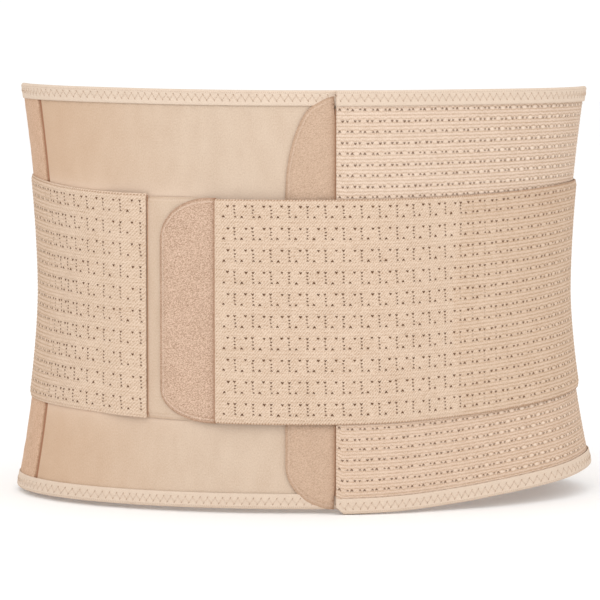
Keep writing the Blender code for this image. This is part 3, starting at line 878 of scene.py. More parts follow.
def knit(name, material, body_range, low, high, inner, count, end_angle, end_phase, rows, slack, pitch,
         round_ends, coarse=None, crowding=0.0, hug=0.0, dusk=unshaded):
    """A length of perforated elastic. rows are the motif rows at its upper and lower edges, and
    crowding is how much closer together they are at the lower edge. Between the coarse rows its
    mesh has half as many lines. Its edges are thin and lie closer to the panel by hug."""
    start, end = body_range
    origin = np.interp(end_angle, ROUND, count) - end_phase

    def motifs(angle):
        return np.interp(angle, ROUND, count) - origin

    first, last = motifs(start), motifs(end)
    phases = [n + p for n in range(int(first) - 2, int(last) + 3) for p in COLUMN_PHASES]
    phases = [p for p in phases if first + 0.08 < p < last - 0.08]
    angles = np.interp([first, *phases, last], count - origin, ROUND)

    def crowded(share):
        return rows[0] + (rows[1] - rows[0]) * (share + crowding * share * (share - 1))

    margin = (ELASTIC - hug) / 2 / float(high(start) - low(start))
    top_row, bottom_row = crowded(margin), crowded(1 - margin)
    grid = np.arange(np.ceil(top_row * ROWS_PER_MOTIF + 0.9), bottom_row * ROWS_PER_MOTIF - 0.8)
    if coarse:
        first_coarse, last_coarse = (row * ROWS_PER_MOTIF for row in coarse)
        grid = grid[(grid % 2 == 0) | (grid < first_coarse) | (grid > last_coarse)]
    hem = [top_row, top_row + 0.02], [bottom_row - 0.02, bottom_row]
    lines = np.concatenate([hem[0], grid / ROWS_PER_MOTIF, hem[1]])[::-1]

    even = np.linspace(0, 1, 400)
    heights = between(low, high, angles, 1 - np.interp(lines, crowded(even), even))

    def row_of(a, z):
        return crowded((high(a) - z) / (high(a) - low(a)))

    def from_edge(a, z):
        return np.minimum(z - low(a), high(a) - z)

    def hem_drop(a, z):
        return hug * (1 - smooth(from_edge(a, z) / 0.0032))

    def relief(a, z):
        u, v, loose = motifs(a), row_of(a, z), slack(a, z)
        inside = smooth(np.minimum(v - rows[0], rows[1] - v) * 5)
        beside = nearest(u - EYELET_GAP * (np.floor(2 * v + 0.5) % 2), 0.0, EYELET_GAP)
        above = np.sin(4 * pi * v)
        swell = SWELL * loose * (smooth(beside / 0.3) - 0.35) * (0.65 * above - 0.35 * np.abs(above))
        rib = 0.5 + 0.5 * np.cos(2 * pi * (RIBS * v - swell))
        height = (0.07 + 0.21 * loose) * (rib - 1)
        for row, columns in ((0.0, (0.0, EYELET_GAP)), (0.5, (EYELET_GAP, 2 * EYELET_GAP))):
            in_row = smooth(1 - nearest(v, row) * 12)
            height += in_row * (0.30 * loose * smooth(nearest(u, *columns) / 0.19) - 0.20)
        return MM * inside * height - 1.6 * hem_drop(a, z)

    def shade(a, z):
        return 0.10 * fade(from_edge(a, z), 0.0003) + dusk(a, z)

    return cloth(
        name, material, angles, heights, inner, ELASTIC, lambda a, z: (motifs(a), row_of(a, z)),
        relief=relief, inner_relief=hem_drop, round_ends=round_ends, shade=shade,
        attributes={"slack": slack, "pitch": lambda a, z: pitch(a) / MM},
    )


def bend(piece, fixed, moving, zone, inner):
    """Bakes the piece's placement into its mesh; it does not tie the piece to either body."""
    start, end = (Vector(place(angle, WAIST_HEIGHT, inner).tolist()) for angle in zone)
    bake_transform(piece)
    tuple(start)
    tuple(end)


def sheet_size(start, end, low, high):
    """Width and length of the rectangle that a layer is cut from."""
    angles = np.linspace(start, end, 40)
    return float(arc(end) - arc(start)), float(np.max(high(angles) - low(angles)))


# Panels.


def puckers(a, z):
    """Where the bindings' stitches gather the smooth panel, and its slow waves."""
    along = arc(a)
    top = fade(upper_edge(a) - BINDING_WIDTH - z, 0.007)
    bottom = fade(z - left_lower_edge(a) - BINDING_WIDTH, 0.006)
    gathers = 0.16 * np.sin(along * 2 * pi / 0.0088 + 1.5 * uneven(along, 0, 0.03, 5))
    left = 0.4 + 0.6 * ease(-a, 25.0, 55.0)
    slow = 0.20 * uneven(along, z, 0.050, 3) + 0.06 * uneven(along, z, 0.019, 9)
    return MM * (gathers * left * (top + 0.6 * bottom) + slow)


def drop_to_edge(distance, depth, reach):
    """How far a padded face sinks this close to its edge."""
    return depth * (1 - np.sqrt(1 - (1 - np.clip(distance / reach, 0, 1)) ** 2))


def painted_light_by_straps(angle, height):
    """1 under the straps and fading beyond their edges: painted light there, against the shadow that the
    straps cast on the laminate.
    """
    left = angle < LEFT_STRAP_END
    low = np.where(left, left_strap_low(angle), right_strap_low(angle))
    high = np.where(left, left_strap_high(angle), right_strap_high(angle))
    return fade(np.maximum(height - high, low - height), PAINTED_LIGHT_REACH)


def left_front():
    low, high = drawn_in(left_lower_edge, upper_edge, IN_TAPE)
    end = angle_at(arc(LEFT_PANEL_END) - IN_TAPE)
    start = LEFT_HINGE + SEAM_HALF
    angles = spaced_for_edges(start, end, 1.6, 0, 0.0004)

    def relief(a, z):
        return puckers(a, z) - drop_to_edge(arc(a) - arc(start), 0.0008, 0.0016)

    def shade(a, z):
        # painted shade by the seam, and painted light near the straps' edges
        return 0.45 * bell(arc(a) - arc(start), 0.0007) - 0.42 * painted_light_by_straps(a, z)

    panel = cloth(
        "left_front_panel_cloth", SMOOTH, angles, between(low, high, angles, 150), constant(0.0), LAMINATE,
        relief=relief, shade=shade,
    )
    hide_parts("left_front_panel")
    bend(panel, "root", "left_wing", LEFT_BEND, LAMINATE)
    return panel, sheet_size(start, end, low, high)


def left_side():
    """The brushed side panel, padded. It sinks to its seam with the front panel."""
    low, high = drawn_in(lower_edge, upper_edge, IN_TAPE)
    end = FULL_TURN + LEFT_HINGE - SEAM_HALF
    angles = spaced_for_edges(LEFT_SEAM - OVERLAP, end, 0, 3.0, 0.0004)

    def relief(a, z):
        along = arc(a - FULL_TURN)
        nap = 0.07 * uneven(along, z, 0.0016, 2) + 0.12 * uneven(along, z, 0.006, 4)
        return MM * (nap + 0.35) - drop_to_edge(arc(end) - arc(a), 0.0010, 0.0018)

    panel = cloth(
        "left_side_panel_cloth", SIDE_PILE, angles, between(low, high, angles, 170), constant(0.0),
        LAMINATE, relief=relief, shade=lambda a, z: 0.40 * bell(arc(end) - arc(a), 0.0006),
    )
    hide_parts("left_side_panel")
    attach(panel, "root")
    return panel


def left_seam():
    """The dark joining tape at the bottom of the groove between the side and front panels."""
    low, high = drawn_in(left_lower_edge, upper_edge, 0.004)
    centre = arc(LEFT_HINGE)
    angles = angle_at(np.linspace(centre - 0.0030, centre + 0.0030, 17))

    def relief(a, z):
        return MM * 0.55 * bell((arc(a) - centre) / MM, 0.45) * (1 + 0.25 * np.cos(2 * pi * z / 0.0021))

    tape = cloth(
        "left_seam_tape", JOIN_TAPE, angles, between(low, high, angles, 460), constant(0.0002), 0.0007,
        lambda a, z: (z / MM, arc(a) / MM * 0.5), relief=relief, every=20,
    )
    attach(tape, "root")


def right_panel():
    start, end = RIGHT_PANEL_END, RIGHT_SEAM + OVERLAP
    high = inset(upper_edge, -IN_TAPE)

    def low(angle):
        """The lower front corner is cut off."""
        return lower_edge(angle) + IN_TAPE + 0.0018 * (1 - ease(angle, start, start + 1.5))

    panel = knit(
        "right_panel_cloth", PANEL_ELASTIC, (start, end), low, high, right_panel_inner, PANEL_COUNT, start,
        PANEL_END_PHASE, PANEL_ROWS, panel_slack, panel_pitch, (True, True), coarse=PANEL_COARSE,
        crowding=0.045,
    )
    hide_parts("right_front_panel", "right_side_panel")
    bend(panel, "root", "right_wing", RIGHT_BEND, ELASTIC)
    return panel, sheet_size(start, end, low, high)


def back():
    low, high = drawn_in(lower_edge, upper_edge, IN_TAPE)
    start, end = RIGHT_SEAM - OVERLAP, LEFT_SEAM + OVERLAP
    angles = spaced_for_edges(start, end, 2, 2, 0.0006)

    def from_seam(a):
        return np.minimum(arc(a) - arc(start), arc(end) - arc(a))

    def relief(a, z):
        nap = 0.07 * uneven(arc(a), z, 0.0016, 12) + 0.14 * uneven(arc(a), z, 0.007, 14)
        return MM * (nap + 0.2) - drop_to_edge(from_seam(a), 0.0010, 0.0024)

    panel = cloth(
        "back_panel_cloth", BACK_PILE, angles, between(low, high, angles, 170), constant(0.0), LAMINATE,
        relief=relief, shade=lambda a, z: 0.4 * fade(from_seam(a), 0.001),
    )
    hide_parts("back_panel")
    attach(panel, "root")


def back_lining():
    """A towelling pad inside the back, quilted in upright channels."""
    low, high = drawn_in(lower_edge, upper_edge, BINDING_WIDTH + GAP)
    start, end = BACK_CENTRE - LINING_REACH, BACK_CENTRE + LINING_REACH
    angles = spaced(start, end, 0.0016)
    width = (arc(end) - arc(start)) / LINING_CHANNELS

    def thin(a, z):
        """How far the pad's inner face lies back from its full thickness."""
        along = arc(a)
        phase = (along - arc(start)) / width
        seam = np.abs(phase - np.round(phase)) * width
        sides = np.minimum(along - arc(start), arc(end) - along)
        border = np.minimum(np.minimum(high(a) - z, z - low(a)), sides)
        loops = 0.16 * uneven(along, z, 0.0013, 21) + 0.12 * uneven(along, z, 0.0031, 22)
        sunk = drop_to_edge(seam, 0.0015, 0.008) + drop_to_edge(border, 0.0016, 0.006)
        return np.minimum(sunk, 0.0018) + MM * (0.2 + loops)

    pad = cloth(
        "back_lining_pad", LINING_PILE, angles, between(low, high, angles, 150), constant(-GAP - LINING),
        LINING, inner_relief=lambda a, z: -thin(a, z), every=1,
    )
    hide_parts("back_lining")
    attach(pad, "root")


# Bindings.


def fold_section(fabric):
    """The tape's section round a fabric edge: distances in from the fold, offsets from the fabric's
    middle, and the tape's half thickness there. It starts and ends at the tape's free edges."""
    radius = fabric / 2 + FIT + TAPE / 2
    leg = np.array([8.9, 8.5, 7.6, 6.8, 6.1, 5.4, 4.5, 3.7, 3.0, 2.3, 1.8]) * MM
    turn = np.radians(np.arange(0, 181, 22.5))
    base = radius + TAPE / 2
    distance = np.concatenate([leg, base - radius * np.sin(turn), leg[::-1]])
    offset = np.concatenate([leg * 0 + radius, radius * np.cos(turn), leg * 0 - radius])
    half = np.full(len(distance), TAPE / 2)
    half[[0, -1]] = TAPE * 0.2
    return distance, offset, half


def tube(path, radius, sides=5):
    """Points and faces of a thin tube along a path of points."""
    path = np.asarray(path)
    ahead = np.gradient(path, axis=0)
    ahead /= np.linalg.norm(ahead, axis=1)[:, None]
    aside = np.cross(ahead, (0.31, 0.27, 0.91))
    aside /= np.linalg.norm(aside, axis=1)[:, None]
    beside = np.cross(ahead, aside)
    turn = np.linspace(0, 2 * pi, sides, endpoint=False)
    ring = aside[:, None] * np.cos(turn)[:, None] + beside[:, None] * np.sin(turn)[:, None]
    points, faces = loft(path[:, None] + radius * ring, [list(range(sides))])
    along = np.concatenate([[0], np.cumsum(np.linalg.norm(np.diff(path, axis=0), axis=1))]) / MM
    return points, [face[::-1] for face in faces], pairs(along[:, None], (turn / (2 * pi))[None, :])


class Parts:
    """Meshes gathered into one object, each with its own material."""

    def __init__(self):
        self.points, self.faces, self.uvs, self.kinds, self.count = [], [], [], [], 0

    def add(self, points, faces, uvs, kind=0):
        self.points.append(points)
        self.faces += [[i + self.count for i in face] for face in faces]
        self.uvs.append(uvs)
        self.kinds += [kind] * len(faces)
        self.count += len(points)

    def make(self, name, materials):
        uvs, attributes = np.concatenate(self.uvs), {"shade": np.zeros(self.count)}
        points = np.concatenate(self.points)
        return make_object(name, points, self.faces, uvs, materials, attributes, self.kinds)


def zigzag(parts, start, end, surface, kind=1, rows=NEEDLE_ROWS, radius=THREAD):
    """Zigzag stitches from start to end, as arc lengths. surface(length, across, lift) gives a point."""
    half = STITCH_PERIOD / 2
    share = np.linspace(0, 1, 6)
    lift = THREAD * (1.5 * np.sin(pi * share) - 0.4)
    for n in range(int(np.ceil(start / half + 0.6)), int(np.floor(end / half - 0.6))):
        near, far = rows if n % 2 == 0 else rows[::-1]
        parts.add(*tube(surface((n + share) * half, near + (far - near) * share, lift), radius), kind)


def folded_tape(name, columns, ends, fabric, face, inward=-1):
    """A tape folded over a fabric's edge and zigzag stitched, whose thickness ends are shares of at
    each column. face(length, across, side, off) is the point this far from the fold and at this
    offset from the fabric's middle, on its outer side (1) or its inner side (-1)."""
    distance, offset, half = fold_section(fabric)
    side = np.where(offset >= 0, 1.0, -1.0)
    turning = np.clip((FOLD_TURN - distance) / FOLD_TURN, 0, 1)
    length, skins = columns[:, None], []
    for sign in (1, -1):
        thick = sign * half * ends[:, None]
        skins.append(face(length, distance - thick * turning, side, offset + thick * side))
    points, faces = strip(*(skins if inward < 0 else skins[::-1]))
    parts = Parts()
    from_fold = np.concatenate([distance, distance[::-1]])
    parts.add(points, faces, pairs(length / MM, from_fold / MM))
    outer = fabric / 2 + FIT + TAPE
    for way in (1, -1):
        zigzag(
            parts, columns[0], columns[-1],
            lambda along, across, lift, way=way: face(along, across, way, way * (outer + lift)),
        )
    return parts.make(name, [TAPE_CLOTH, THREAD_YARN])


def sewn_flat(across):
    """How much a binding's stitches press its faces together, up to 1 between their two rows."""
    return bell(across - 0.0046, 0.0022)


def binding(name, replaced, angles_range, edge, inward, inner, fabric, body=None, zone=None, cut=0.0):
    """A tape folded over an edge. Inward is +1 for a lower edge. Its first corner is cut off, by
    this angle."""
    start, end = (float(arc(angle)) for angle in angles_range)
    step = STITCH_PERIOD / 4
    grid = np.arange(np.ceil(start / step + 0.3), np.floor(end / step - 0.3) + 0.5) * step
    columns = np.concatenate([[start, start + 0.0002], grid, [end - 0.0002, end]])
    ends = np.ones(len(columns))
    ends[[0, -1]] = 0.4

    def pressed(length, across):
        """How far the stitches pull the tape's faces together here."""
        depth = 0.0
        for row, phase in zip(NEEDLE_ROWS, NEEDLE_PHASES):
            x = ((length / STITCH_PERIOD - phase + 0.5) % 1.0 - 0.5) * STITCH_PERIOD
            depth = depth + 0.17 * np.exp(-((x / 0.0007) ** 2 + ((across - row) / 0.0008) ** 2))
        return MM * (depth + 0.10 * sewn_flat(across) + 0.05 * uneven(length, across, 0.006, 8))

    def face(length, across, side, off):
        shift = cut * np.clip(1 - across / CUT_HEIGHT, 0, 1)
        angle = angle_at(length) + shift * np.clip(1 - (length - start) / CUT_REACH, 0, 1)
        off = inner(angle) + fabric / 2 + side * (np.abs(off) - pressed(length, across))
        return place(angle, edge(angle) + inward * across, off)

    piece = folded_tape(name, columns, ends, fabric, face, inward)
    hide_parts(*replaced)
    if zone:
        bend(piece, "root", body, zone, fabric)
    else:
        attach(piece, body or "root")
    return piece


def bindings():
    made = {}
    for name, edge, inward, cut in (("top", upper_edge, -1, 0.0), ("bottom", lower_edge, 1, CUT_ANGLE)):
        left_edge = upper_edge if name == "top" else left_lower_edge
        made["left", name] = binding(
            f"left_{name}_binding_tape", [f"left_{name}_binding"], (LEFT_SEAM - FULL_TURN, LEFT_PANEL_END),
            left_edge, inward, constant(0.0), LAMINATE, "left_wing", LEFT_BEND,
        )
        made["right", name] = binding(
            f"right_{name}_binding_tape", [f"right_{name}_binding"], (RIGHT_PANEL_END, RIGHT_SEAM),
            edge, inward, right_panel_inner, ELASTIC, "right_wing", RIGHT_BEND, cut,
        )
        binding(
            f"back_{name}_binding_tape", [f"back_{name}_binding"], (RIGHT_SEAM, LEFT_SEAM),
            edge, inward, constant(0.0), LAMINATE,
        )
    return made


def left_end_binding():
    """The upright tape on the left panel's hidden end."""
    clear = BINDING_WIDTH + GAP
    low, high = left_lower_edge(LEFT_PANEL_END) + clear, upper_edge(LEFT_PANEL_END) - clear
    step = STITCH_PERIOD / 4
    rows = np.arange(np.ceil(low / step), high / step) * step
    end = arc(LEFT_PANEL_END)

    def face(height, across, side, off):
        pressed = MM * (0.12 * sewn_flat(across) + 0.05 * uneven(height, across, 0.006, 8))
        return place(angle_at(end - across), height, LAMINATE / 2 + off - side * pressed)

    piece = folded_tape("left_end_binding_tape", rows, np.ones(len(rows)), LAMINATE, face)
    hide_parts("left_end_binding")
    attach(piece, "left_wing")


# Tabs and hook tape.


def corner_columns(edge, root, width, step):
    """Angles close together where the tab's corner is steep, and evenly spaced past it. width is
    less than 0 if the root is at the smaller angle."""
    curved = edge + width * (1 - np.cos(np.radians(np.linspace(0, 90, 26))))
    even = spaced(min(curved[-1], root), max(curved[-1], root), step)
    return np.concatenate([curved, (even if width > 0 else even[::-1])[1:]])


def tab(name, material, edge, root, width, low, high, inner, *, sink, rim, line, nap, seed, shade,
        outline=1.0, steps=()):
    """A flexible tab, with corners of this width. It sinks to the panel over its rim, and a line is
    pressed into it this far inside its outline. Its edges may step in between two angles."""
    angles = corner_columns(edge, root, width, 0.0011)
    if steps:
        angles = angles[(angles < steps[0] - 0.1) | (angles > steps[-1] + 0.1)]
        angles = np.sort(np.concatenate([angles, steps]))
    if root < edge:
        angles = angles[::-1]
    margin = np.linspace(0, 0.04, 14)
    shares = np.concatenate([margin[:-1], np.linspace(0.04, 0.96, 190), 0.96 + margin[1:]])
    heights = between(*drawn_in(low, high, TAB / 2), angles, shares)

    def across(outline_, a, z):
        slope = (outline_(a + 0.02) - outline_(a - 0.02)) / (arc(a + 0.02) - arc(a - 0.02))
        return np.abs(z - outline_(a)) / np.hypot(1.0, slope)

    def from_border(a, z):
        side = np.abs(arc(a) - arc(edge))
        return np.minimum(np.minimum(across(low, a, z), across(high, a, z)), side)

    def lowered(a, z):
        return sink * (1 - smooth(from_border(a, z) / rim))

    def drawn(a, z):
        """Painted shade along the cut edge, a painted highlight on the welt inside it, and painted shade
        in the pressed line that ends the welt.
        """
        border = from_border(a, z)
        cut, welt = 0.40 * bell(border - 0.0005, 0.0009), 0.40 * bell(border - line + WELT, 0.0004)
        return outline * (cut - welt + 0.22 * bell(border - line, 0.0004)) + shade(a, z)

    def relief(a, z):
        border = from_border(a, z)
        pressed = 0.16 * outline * bell(border - line, 0.0005)
        raised = 0.14 * outline * bell(border - line + WELT, 0.0005)
        fluff = nap * uneven(arc(a), z, 0.0014, seed) + 0.7 * nap * uneven(arc(a), z, 0.0007, seed + 1)
        return MM * (fluff + raised - pressed) - lowered(a, z)

    return cloth(
        name, material, angles, heights, constant(inner), TAB, relief=relief, inner_relief=lowered,
        every=2, shade=drawn,
    )


def seam_shade(angle, beside, strength, reach):
    """A line of painted shade this far beside an angle, where an elastic's end is sewn over its tab and
    stands above it.
    """
    return lambda a, z: strength * np.exp(-np.abs(arc(angle) + beside - arc(a)) / reach)


def hook_patch(name, edge, root, corner, low, high, inner, replaced, body):
    """A tab's hook tape: a thin woven ground, and rows of small hooks on its inner face."""
    low, high = round_corners(low, high, edge, corner)
    width = corner[0]
    angles = corner_columns(edge, root, width - 0.5 * np.sign(width), HOOK_STEP)
    if root < edge:
        angles = angles[::-1]
    heights = between(low, high, angles, 60)
    a = angles[:, None]
    outside = inner + HOOK
    inside = outside - HOOK * 0.45
    points, faces = strip(place(a, heights, outside), place(a, heights, inside))
    z = np.concatenate([heights, heights[:, ::-1]], axis=1)
    parts = Parts()
    parts.add(points, faces, pairs(arc(a) / MM, z / MM))
    curl = np.linspace(0, 1, 5) * pi * 0.75
    rise, run = 0.00040 * np.sin(curl), 0.00042 * (1 - np.cos(curl))
    lengths = np.arange(arc(a.min()) + HOOK_PITCH, arc(a.max()) - HOOK_PITCH, HOOK_PITCH)
    for i, length in enumerate(lengths):
        angle = float(angle_at(length))
        bottom, top = float(low(angle)) + HOOK_PITCH, float(high(angle)) - HOOK_PITCH
        for height in np.arange(bottom + (i % 2) * HOOK_PITCH / 2, top, HOOK_PITCH):
            parts.add(*tube(place(angle, height + run, inside - rise), 0.00011, sides=4))
    piece = parts.make(name, [HOOKS])
    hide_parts(replaced)
    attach(piece, body)


def main_tab():
    width, top_height, bottom_height = MAIN_TAB_CORNER
    neck = BINDING_WIDTH + 3 * GAP
    round_low, round_high = round_corners(left_lower_edge, upper_edge, MAIN_TAB_EDGE, MAIN_TAB_CORNER)

    def necked(angle):
        """Past these angles the tab passes between the right panel's bindings."""
        return neck * ease(angle, *MAIN_TAB_NECK)

    def high(angle):
        """Slants down towards the seam."""
        return round_high(angle) - necked(angle) - 0.0032 * ease(angle, -0.5, 4.0)

    piece = tab(
        "main_hook_tab_cloth", TAB_PILE, MAIN_TAB_EDGE, MAIN_TAB_ROOT, width,
        lambda a: round_low(a) + necked(a), high, MAIN_TAB_INNER,
        sink=0.0013, rim=0.0042, line=0.0031, nap=0.07, seed=31, outline=0.6, steps=MAIN_TAB_NECK,
        shade=seam_shade(RIGHT_PANEL_END, -0.0004, 0.72, 0.0011),
    )
    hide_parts("main_hook_tab")
    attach(piece, "right_wing")
    shrink = float(angle_at(HOOK_MARGIN))
    corner = (width - shrink, top_height - HOOK_MARGIN, bottom_height - HOOK_MARGIN)
    hook_patch("main_hook_tape", MAIN_TAB_EDGE + shrink, MAIN_HOOK_ROOT, corner,
               *drawn_in(left_lower_edge, upper_edge, neck), MAIN_HOOK_INNER,
               "main_hook_patch", "right_wing")


def right_strap_tab():
    width, top_height, bottom_height = RIGHT_STRAP_CORNER
    edge, root = RIGHT_STRAP_TAB
    low, high = drawn_in(right_strap_low, right_strap_high, -STRAP_TAB_PROUD)
    round_low, round_high = round_corners(low, high, edge, RIGHT_STRAP_CORNER)

    def tucked_in(angle):
        return 2.5 * STRAP_TAB_PROUD * smooth((angle - RIGHT_STRAP_END) / 0.5)

    piece = tab(
        "right_strap_tab_cloth", FLEECE_TAB, edge, root, width,
        lambda a: round_low(a) + tucked_in(a), lambda a: round_high(a) - tucked_in(a), STRAP_TAB_INNER,
        sink=0.0014, rim=0.0040, line=0.0032, nap=0.11, seed=41,
        shade=seam_shade(RIGHT_STRAP_END, -0.0004, 0.85, 0.0009),
    )
    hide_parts("right_strap_tab")
    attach(piece, "right_strap")
    shrink = float(angle_at(arc(edge) + HOOK_MARGIN)) - edge
    hook_patch("right_strap_hook_tape", edge + shrink, RIGHT_STRAP_END,
               (width - shrink, top_height, bottom_height), *drawn_in(low, high, HOOK_MARGIN),
               STRAP_HOOK_INNER, "right_strap_hook_patch", "right_strap")


def left_strap_tab():
    width = LEFT_STRAP_CORNER[0]
    root, edge = LEFT_STRAP_TAB
    low, high = left_strap_low, inset(left_strap_high, -LEFT_TAB_SHORT)
    rounded = round_corners(low, high, edge, LEFT_STRAP_CORNER)
    piece = tab(
        "left_strap_tab_cloth", SMOOTH, edge, root, width, *rounded, MAIN_TAB_INNER,
        sink=0.0013, rim=0.0040, line=0.0030, nap=0.02, seed=51, outline=0.35,
        shade=seam_shade(LEFT_STRAP_END, 0.0003, 0.08, 0.0006),
    )
    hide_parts("left_strap_tab")
    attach(piece, "left_strap")
    shrink = float(angle_at(arc(edge) + HOOK_MARGIN)) - edge
    hook_patch("left_strap_hook_tape", edge - shrink, LEFT_STRAP_END, LEFT_STRAP_CORNER,
               *drawn_in(low, high, HOOK_MARGIN), MAIN_HOOK_INNER, "left_strap_hook_patch", "left_strap")


# Straps.


def straps():
    """Each strap is two lengths of elastic, which meet at its hinge."""
    top_row, bottom_row = STRAP_TOP_PHASE, STRAP_TOP_PHASE + (RIGHT_STRAP_HIGH - STRAP_LOW) / MOTIF_HEIGHT
    right_join, left_join = RIGHT_STRAP_HINGE, LEFT_STRAP_HINGE - 0.5
    right_sewn, left_sewn = BACK_CENTRE - STRAP_SEWN_END, BACK_CENTRE + STRAP_SEWN_END - FULL_TURN

    def right_inner(angle):
        return np.where(angle > RIGHT_HINGE, STRAP_ON_SIDE, right_strap_inner(angle))

    def dusk(a, z):
        """The right strap's upper edge leans out at the side, and faces away from the light."""
        return 0.16 * fade(right_strap_high(a) - z, 0.014) * ease(a, 20.0, 65.0)

    right = (
        right_strap_low, right_strap_high, right_inner, RIGHT_STRAP_END, STRAP_END_PHASE,
        (top_row, bottom_row), dusk,
    )
    left = (
        left_strap_low, left_strap_high, left_strap_inner, LEFT_STRAP_END, LEFT_END_PHASE,
        (top_row - 0.05, bottom_row - 0.09), unshaded,
    )
    pieces = []
    for name, strap, span, ends, replaced, bodies, zone in (
        ("right_strap_front_cloth", right, (RIGHT_STRAP_END, right_join), (True, False),
         ["right_strap_front"], ("right_wing", "right_strap"), RIGHT_STRAP_BEND),
        ("right_strap_rear_cloth", right, (right_join, right_sewn), (False, True),
         ["right_strap_mid", "right_strap_rear"], ("root", "right_wing"), RIGHT_BEND),
        ("left_strap_front_cloth", left, (left_join, LEFT_STRAP_END), (False, True),
         ["left_strap_front"], ("left_wing", "left_strap"), LEFT_STRAP_BEND),
        ("left_strap_rear_cloth", left, (left_sewn, left_join), (True, False),
         ["left_strap_mid", "left_strap_rear"], ("root", "left_wing"), LEFT_BEND),
    ):
        low, high, inner, end, phase, rows, its_dusk = strap
        piece = knit(
            name, STRAP_ELASTIC, span, low, high, inner, STRAP_COUNT, end, phase, rows, strap_slack,
            strap_pitch, ends, hug=STRAP_HUG, dusk=its_dusk,
        )
        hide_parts(*replaced)
        bend(piece, *bodies, zone, STRAP_ON_SIDE)
        pieces.append((piece, sheet_size(*span, low, high)))
    return pieces


# The back's tapes and stays.


def stitch_line(parts, start, end, surface, across, length=0.0028):
    """Straight stitches along a line, as short threads that dip at their ends."""
    share = np.linspace(0, 1, 5)
    for n in range(int((end - start) / length)):
        along = start + (n + 0.1 + 0.8 * share) * length
        lift = 0.00022 * (1.4 * np.sin(pi * share) - 0.3)
        parts.add(*tube(surface(along, across, lift), 0.00022), 1)


def stay_pocket(number, angle):
    """A tunnel of tape over a stay, sewn down along both sides and across both ends."""
    centre = float(arc(angle))

    def top(distance, height):
        """The offset of the tape's outer face."""
        raised = smooth((POCKET_FOOT - np.abs(distance)) / (POCKET_FOOT - POCKET_CROWN))
        ends = smooth(np.minimum(height - POCKET_LOW, POCKET_HIGH - height) / 0.008)
        soft = 0.10 * uneven(height, distance, 0.011, number)
        soft = soft + 0.05 * uneven(height, distance, 0.004, number)
        seam = 0.22 * bell(np.abs(distance) - POCKET_SEAM, 0.0006)
        return 0.0027 + 0.0030 * raised * (0.55 + 0.45 * ends) + MM * (soft - seam)

    def surface(height, distance, lift):
        return place(angle_at(centre + distance), height, top(distance, height) + lift)

    across = np.array([-12, -11.6, -10.5, -9.6, -8.8, -8.0, -7.4, -7.0, -6.5, -5.6, -3.8, -1.9, 0]) * MM
    across = np.concatenate([across, -across[-2::-1]])
    d, z = np.broadcast_arrays(across[None, :], np.linspace(POCKET_LOW, POCKET_HIGH, 110)[:, None])
    lining = np.where(np.abs(d) < 0.0078, top(d, z) - 0.0006, 0.0020)
    inner = place(angle_at(centre + d), z, np.minimum(lining, top(d, z) - 0.0005))
    points, faces = strip(surface(z, d, 0.0)[:, ::-1], inner[:, ::-1])
    parts = Parts()
    u, v = np.concatenate([d[:, ::-1], d], axis=1), np.concatenate([z, z], axis=1)
    parts.add(points, faces, pairs(u, v) / MM)
    for edge in (-POCKET_SEAM, POCKET_SEAM):
        stitch_line(parts, POCKET_LOW + 0.002, POCKET_HIGH - 0.002, surface, edge)

    def crosswise(along, height, lift):
        return surface(height + 0 * along, along, lift)

    for end in (POCKET_LOW + 0.0035, POCKET_HIGH - 0.0035):
        stitch_line(parts, -POCKET_SEAM, POCKET_SEAM, crosswise, end)
    piece = parts.make(f"stay_pocket_{number}_tape", [BACK_PILE, THREAD_YARN])
    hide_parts(f"stay_pocket_{number}")
    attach(piece, "root")


def anchor_tape(side, low, high, start, end):
    """A tape over a strap's sewn end, with a zigzag down both sides."""
    inner = STRAP_ON_SIDE + ELASTIC + GAP * 0.3
    low, high = drawn_in(low, high, -HOOK_MARGIN)
    angles = spaced(start, end, 0.0007)
    middle, half = (arc(start) + arc(end)) / 2, (arc(end) - arc(start)) / 2

    def relief(a, z):
        seam = bell(np.abs(arc(a) - middle) - half + 0.0034, 0.0016)
        return MM * (0.06 * uneven(z, arc(a), 0.006, 5) - 0.12 * seam)

    tape = cloth(
        f"{side}_anchor_tape_cloth", TAPE_CLOTH, angles, between(low, high, angles, 110), constant(inner),
        TAPE, lambda a, z: (z / MM, 20 + arc(a) / MM), relief=relief,
    )
    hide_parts(f"{side}_anchor_tape")
    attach(tape, "root")
    parts = Parts()
    for edge, flip in ((arc(start), 1), (arc(end), -1)):

        def surface(height, across, lift, edge=edge, flip=flip):
            return place(angle_at(edge + flip * across), height, inner + TAPE + lift)

        bottom, top = float(low(start)) + 0.003, float(high(start)) - 0.003
        zigzag(parts, bottom, top, surface, 0, ANCHOR_NEEDLE_ROWS, 0.00021)
    sewing = parts.make(f"{side}_anchor_stitches", [STITCH_YARN])
    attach(sewing, "root")


def stays():
    """The stays and their tips keep their CAD shapes, with rolled steel and moulded plastic."""
    for name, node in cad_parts.items():
        if name.startswith("stay_") and not name.startswith("stay_pocket"):
            node.data.materials.clear()
            node.data.materials.append(PLASTIC if "_tip_" in name else STEEL)


def seam_threads():
    """Dark thread along the lines where the elastics' ends are sewn to their tabs."""
    for name, angle, (low, high), offset, body, side in (
        ("main_tab_seam", RIGHT_PANEL_END, drawn_in(lower_edge, upper_edge, 0.0095),
         MAIN_TAB_INNER + TAB, "right_wing", -1),
        ("right_strap_tab_seam", RIGHT_STRAP_END, (right_strap_low, right_strap_high),
         STRAP_TAB_INNER + TAB, "right_strap", -1),
        ("left_strap_tab_seam", LEFT_STRAP_END, (left_strap_low, left_strap_high),
         MAIN_TAB_INNER + TAB, "left_strap", 1),
    ):
        z = np.arange(float(low(angle)) + 0.0008, float(high(angle)) - 0.0008, 0.0006)
        twist = np.cos(2 * pi * z / 0.0018)
        beside = arc(angle) + side * (0.00034 + 0.00007 * twist)
        parts = Parts()
        parts.add(*tube(place(angle_at(beside), z, offset + 0.00018 + 0.00008 * twist), 0.00024, sides=6))
        thread = parts.make(name, [SEAM_YARN])
        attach(thread, body)


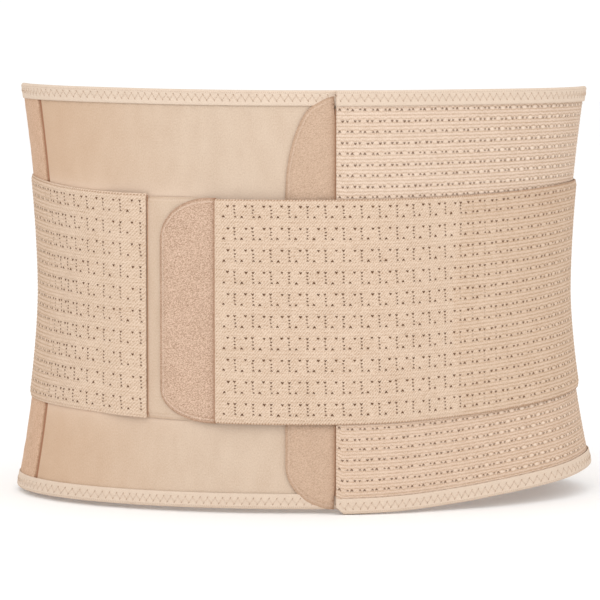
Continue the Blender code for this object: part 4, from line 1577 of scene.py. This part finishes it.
left_panel, left_flat = left_front()
side_panel = left_side()
left_seam()
right_cloth, right_flat = right_panel()
back()
back_lining()
tapes = bindings()
left_end_binding()
main_tab()
right_strap_tab()
left_strap_tab()
strap_pieces = straps()
for number, angle in enumerate(STAY_ANGLES, 1):
    stay_pocket(number, angle)
near, far = ANCHOR_TAPE
anchor_tape("right", right_strap_low, right_strap_high, BACK_CENTRE - far, BACK_CENTRE - near)
anchor_tape("left", left_strap_low, left_strap_high, BACK_CENTRE + near, BACK_CENTRE + far)
stays()
seam_threads()


# The stage, the lights and the camera.


def add_light(name, location, target, size, energy):
    light = bpy.data.lights.new(name, "AREA")
    light.shape = "DISK"
    light.size = size
    light.energy = energy
    obj = bpy.data.objects.new(name, light)
    obj.location = location
    obj.rotation_euler = (Vector(target) - Vector(location)).to_track_quat("-Z", "Y").to_euler()
    bpy.context.collection.objects.link(obj)


def stage():
    world = bpy.data.worlds.new("studio")
    world.use_nodes = True
    sky = world.node_tree.nodes["Background"].inputs
    sky["Color"].default_value = (1, 1, 1, 1)
    sky["Strength"].default_value = 1.04
    bpy.context.scene.world = world
    half = 12.0
    corners = [(-half, -half, 0), (half, -half, 0), (half, half, 0), (-half, half, 0)]
    mesh = bpy.data.meshes.new("floor")
    mesh.from_pydata(corners, [], [(0, 1, 2, 3)])
    floor = bpy.data.objects.new("floor", mesh)
    floor.location.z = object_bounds()[0].z - 0.0002
    bpy.context.collection.objects.link(floor)
    pale = bpy.data.materials.new("pale_floor")
    pale.use_nodes = True
    shader = pale.node_tree.nodes["Principled BSDF"].inputs
    shader["Base Color"].default_value = (0.98, 0.98, 0.98, 1)
    shader["Roughness"].default_value = 0.9
    mesh.materials.append(pale)
    floor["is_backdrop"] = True
    centre = (0, 0, WAIST_HEIGHT)
    add_light("key", (-0.5, -2.4, 1.6), centre, 2.6, 24.6)
    add_light("fill", (1.9, -1.6, 0.9), centre, 1.4, 5.0)


def camera():
    data = bpy.data.cameras.new("camera")
    data.lens = 214.4
    data.sensor_width = 36.0
    data.shift_x = -0.007
    data.shift_y = -0.002
    data.clip_end = 60.0
    obj = bpy.data.objects.new("camera", data)
    obj.location = (0, -2.13, 0.2736)
    obj.rotation_euler = (radians(90 - 4.30), 0, 0)
    bpy.context.collection.objects.link(obj)
    bpy.context.scene.camera = obj


stage()
camera()
bpy.context.scene.view_settings.view_transform = "Standard"
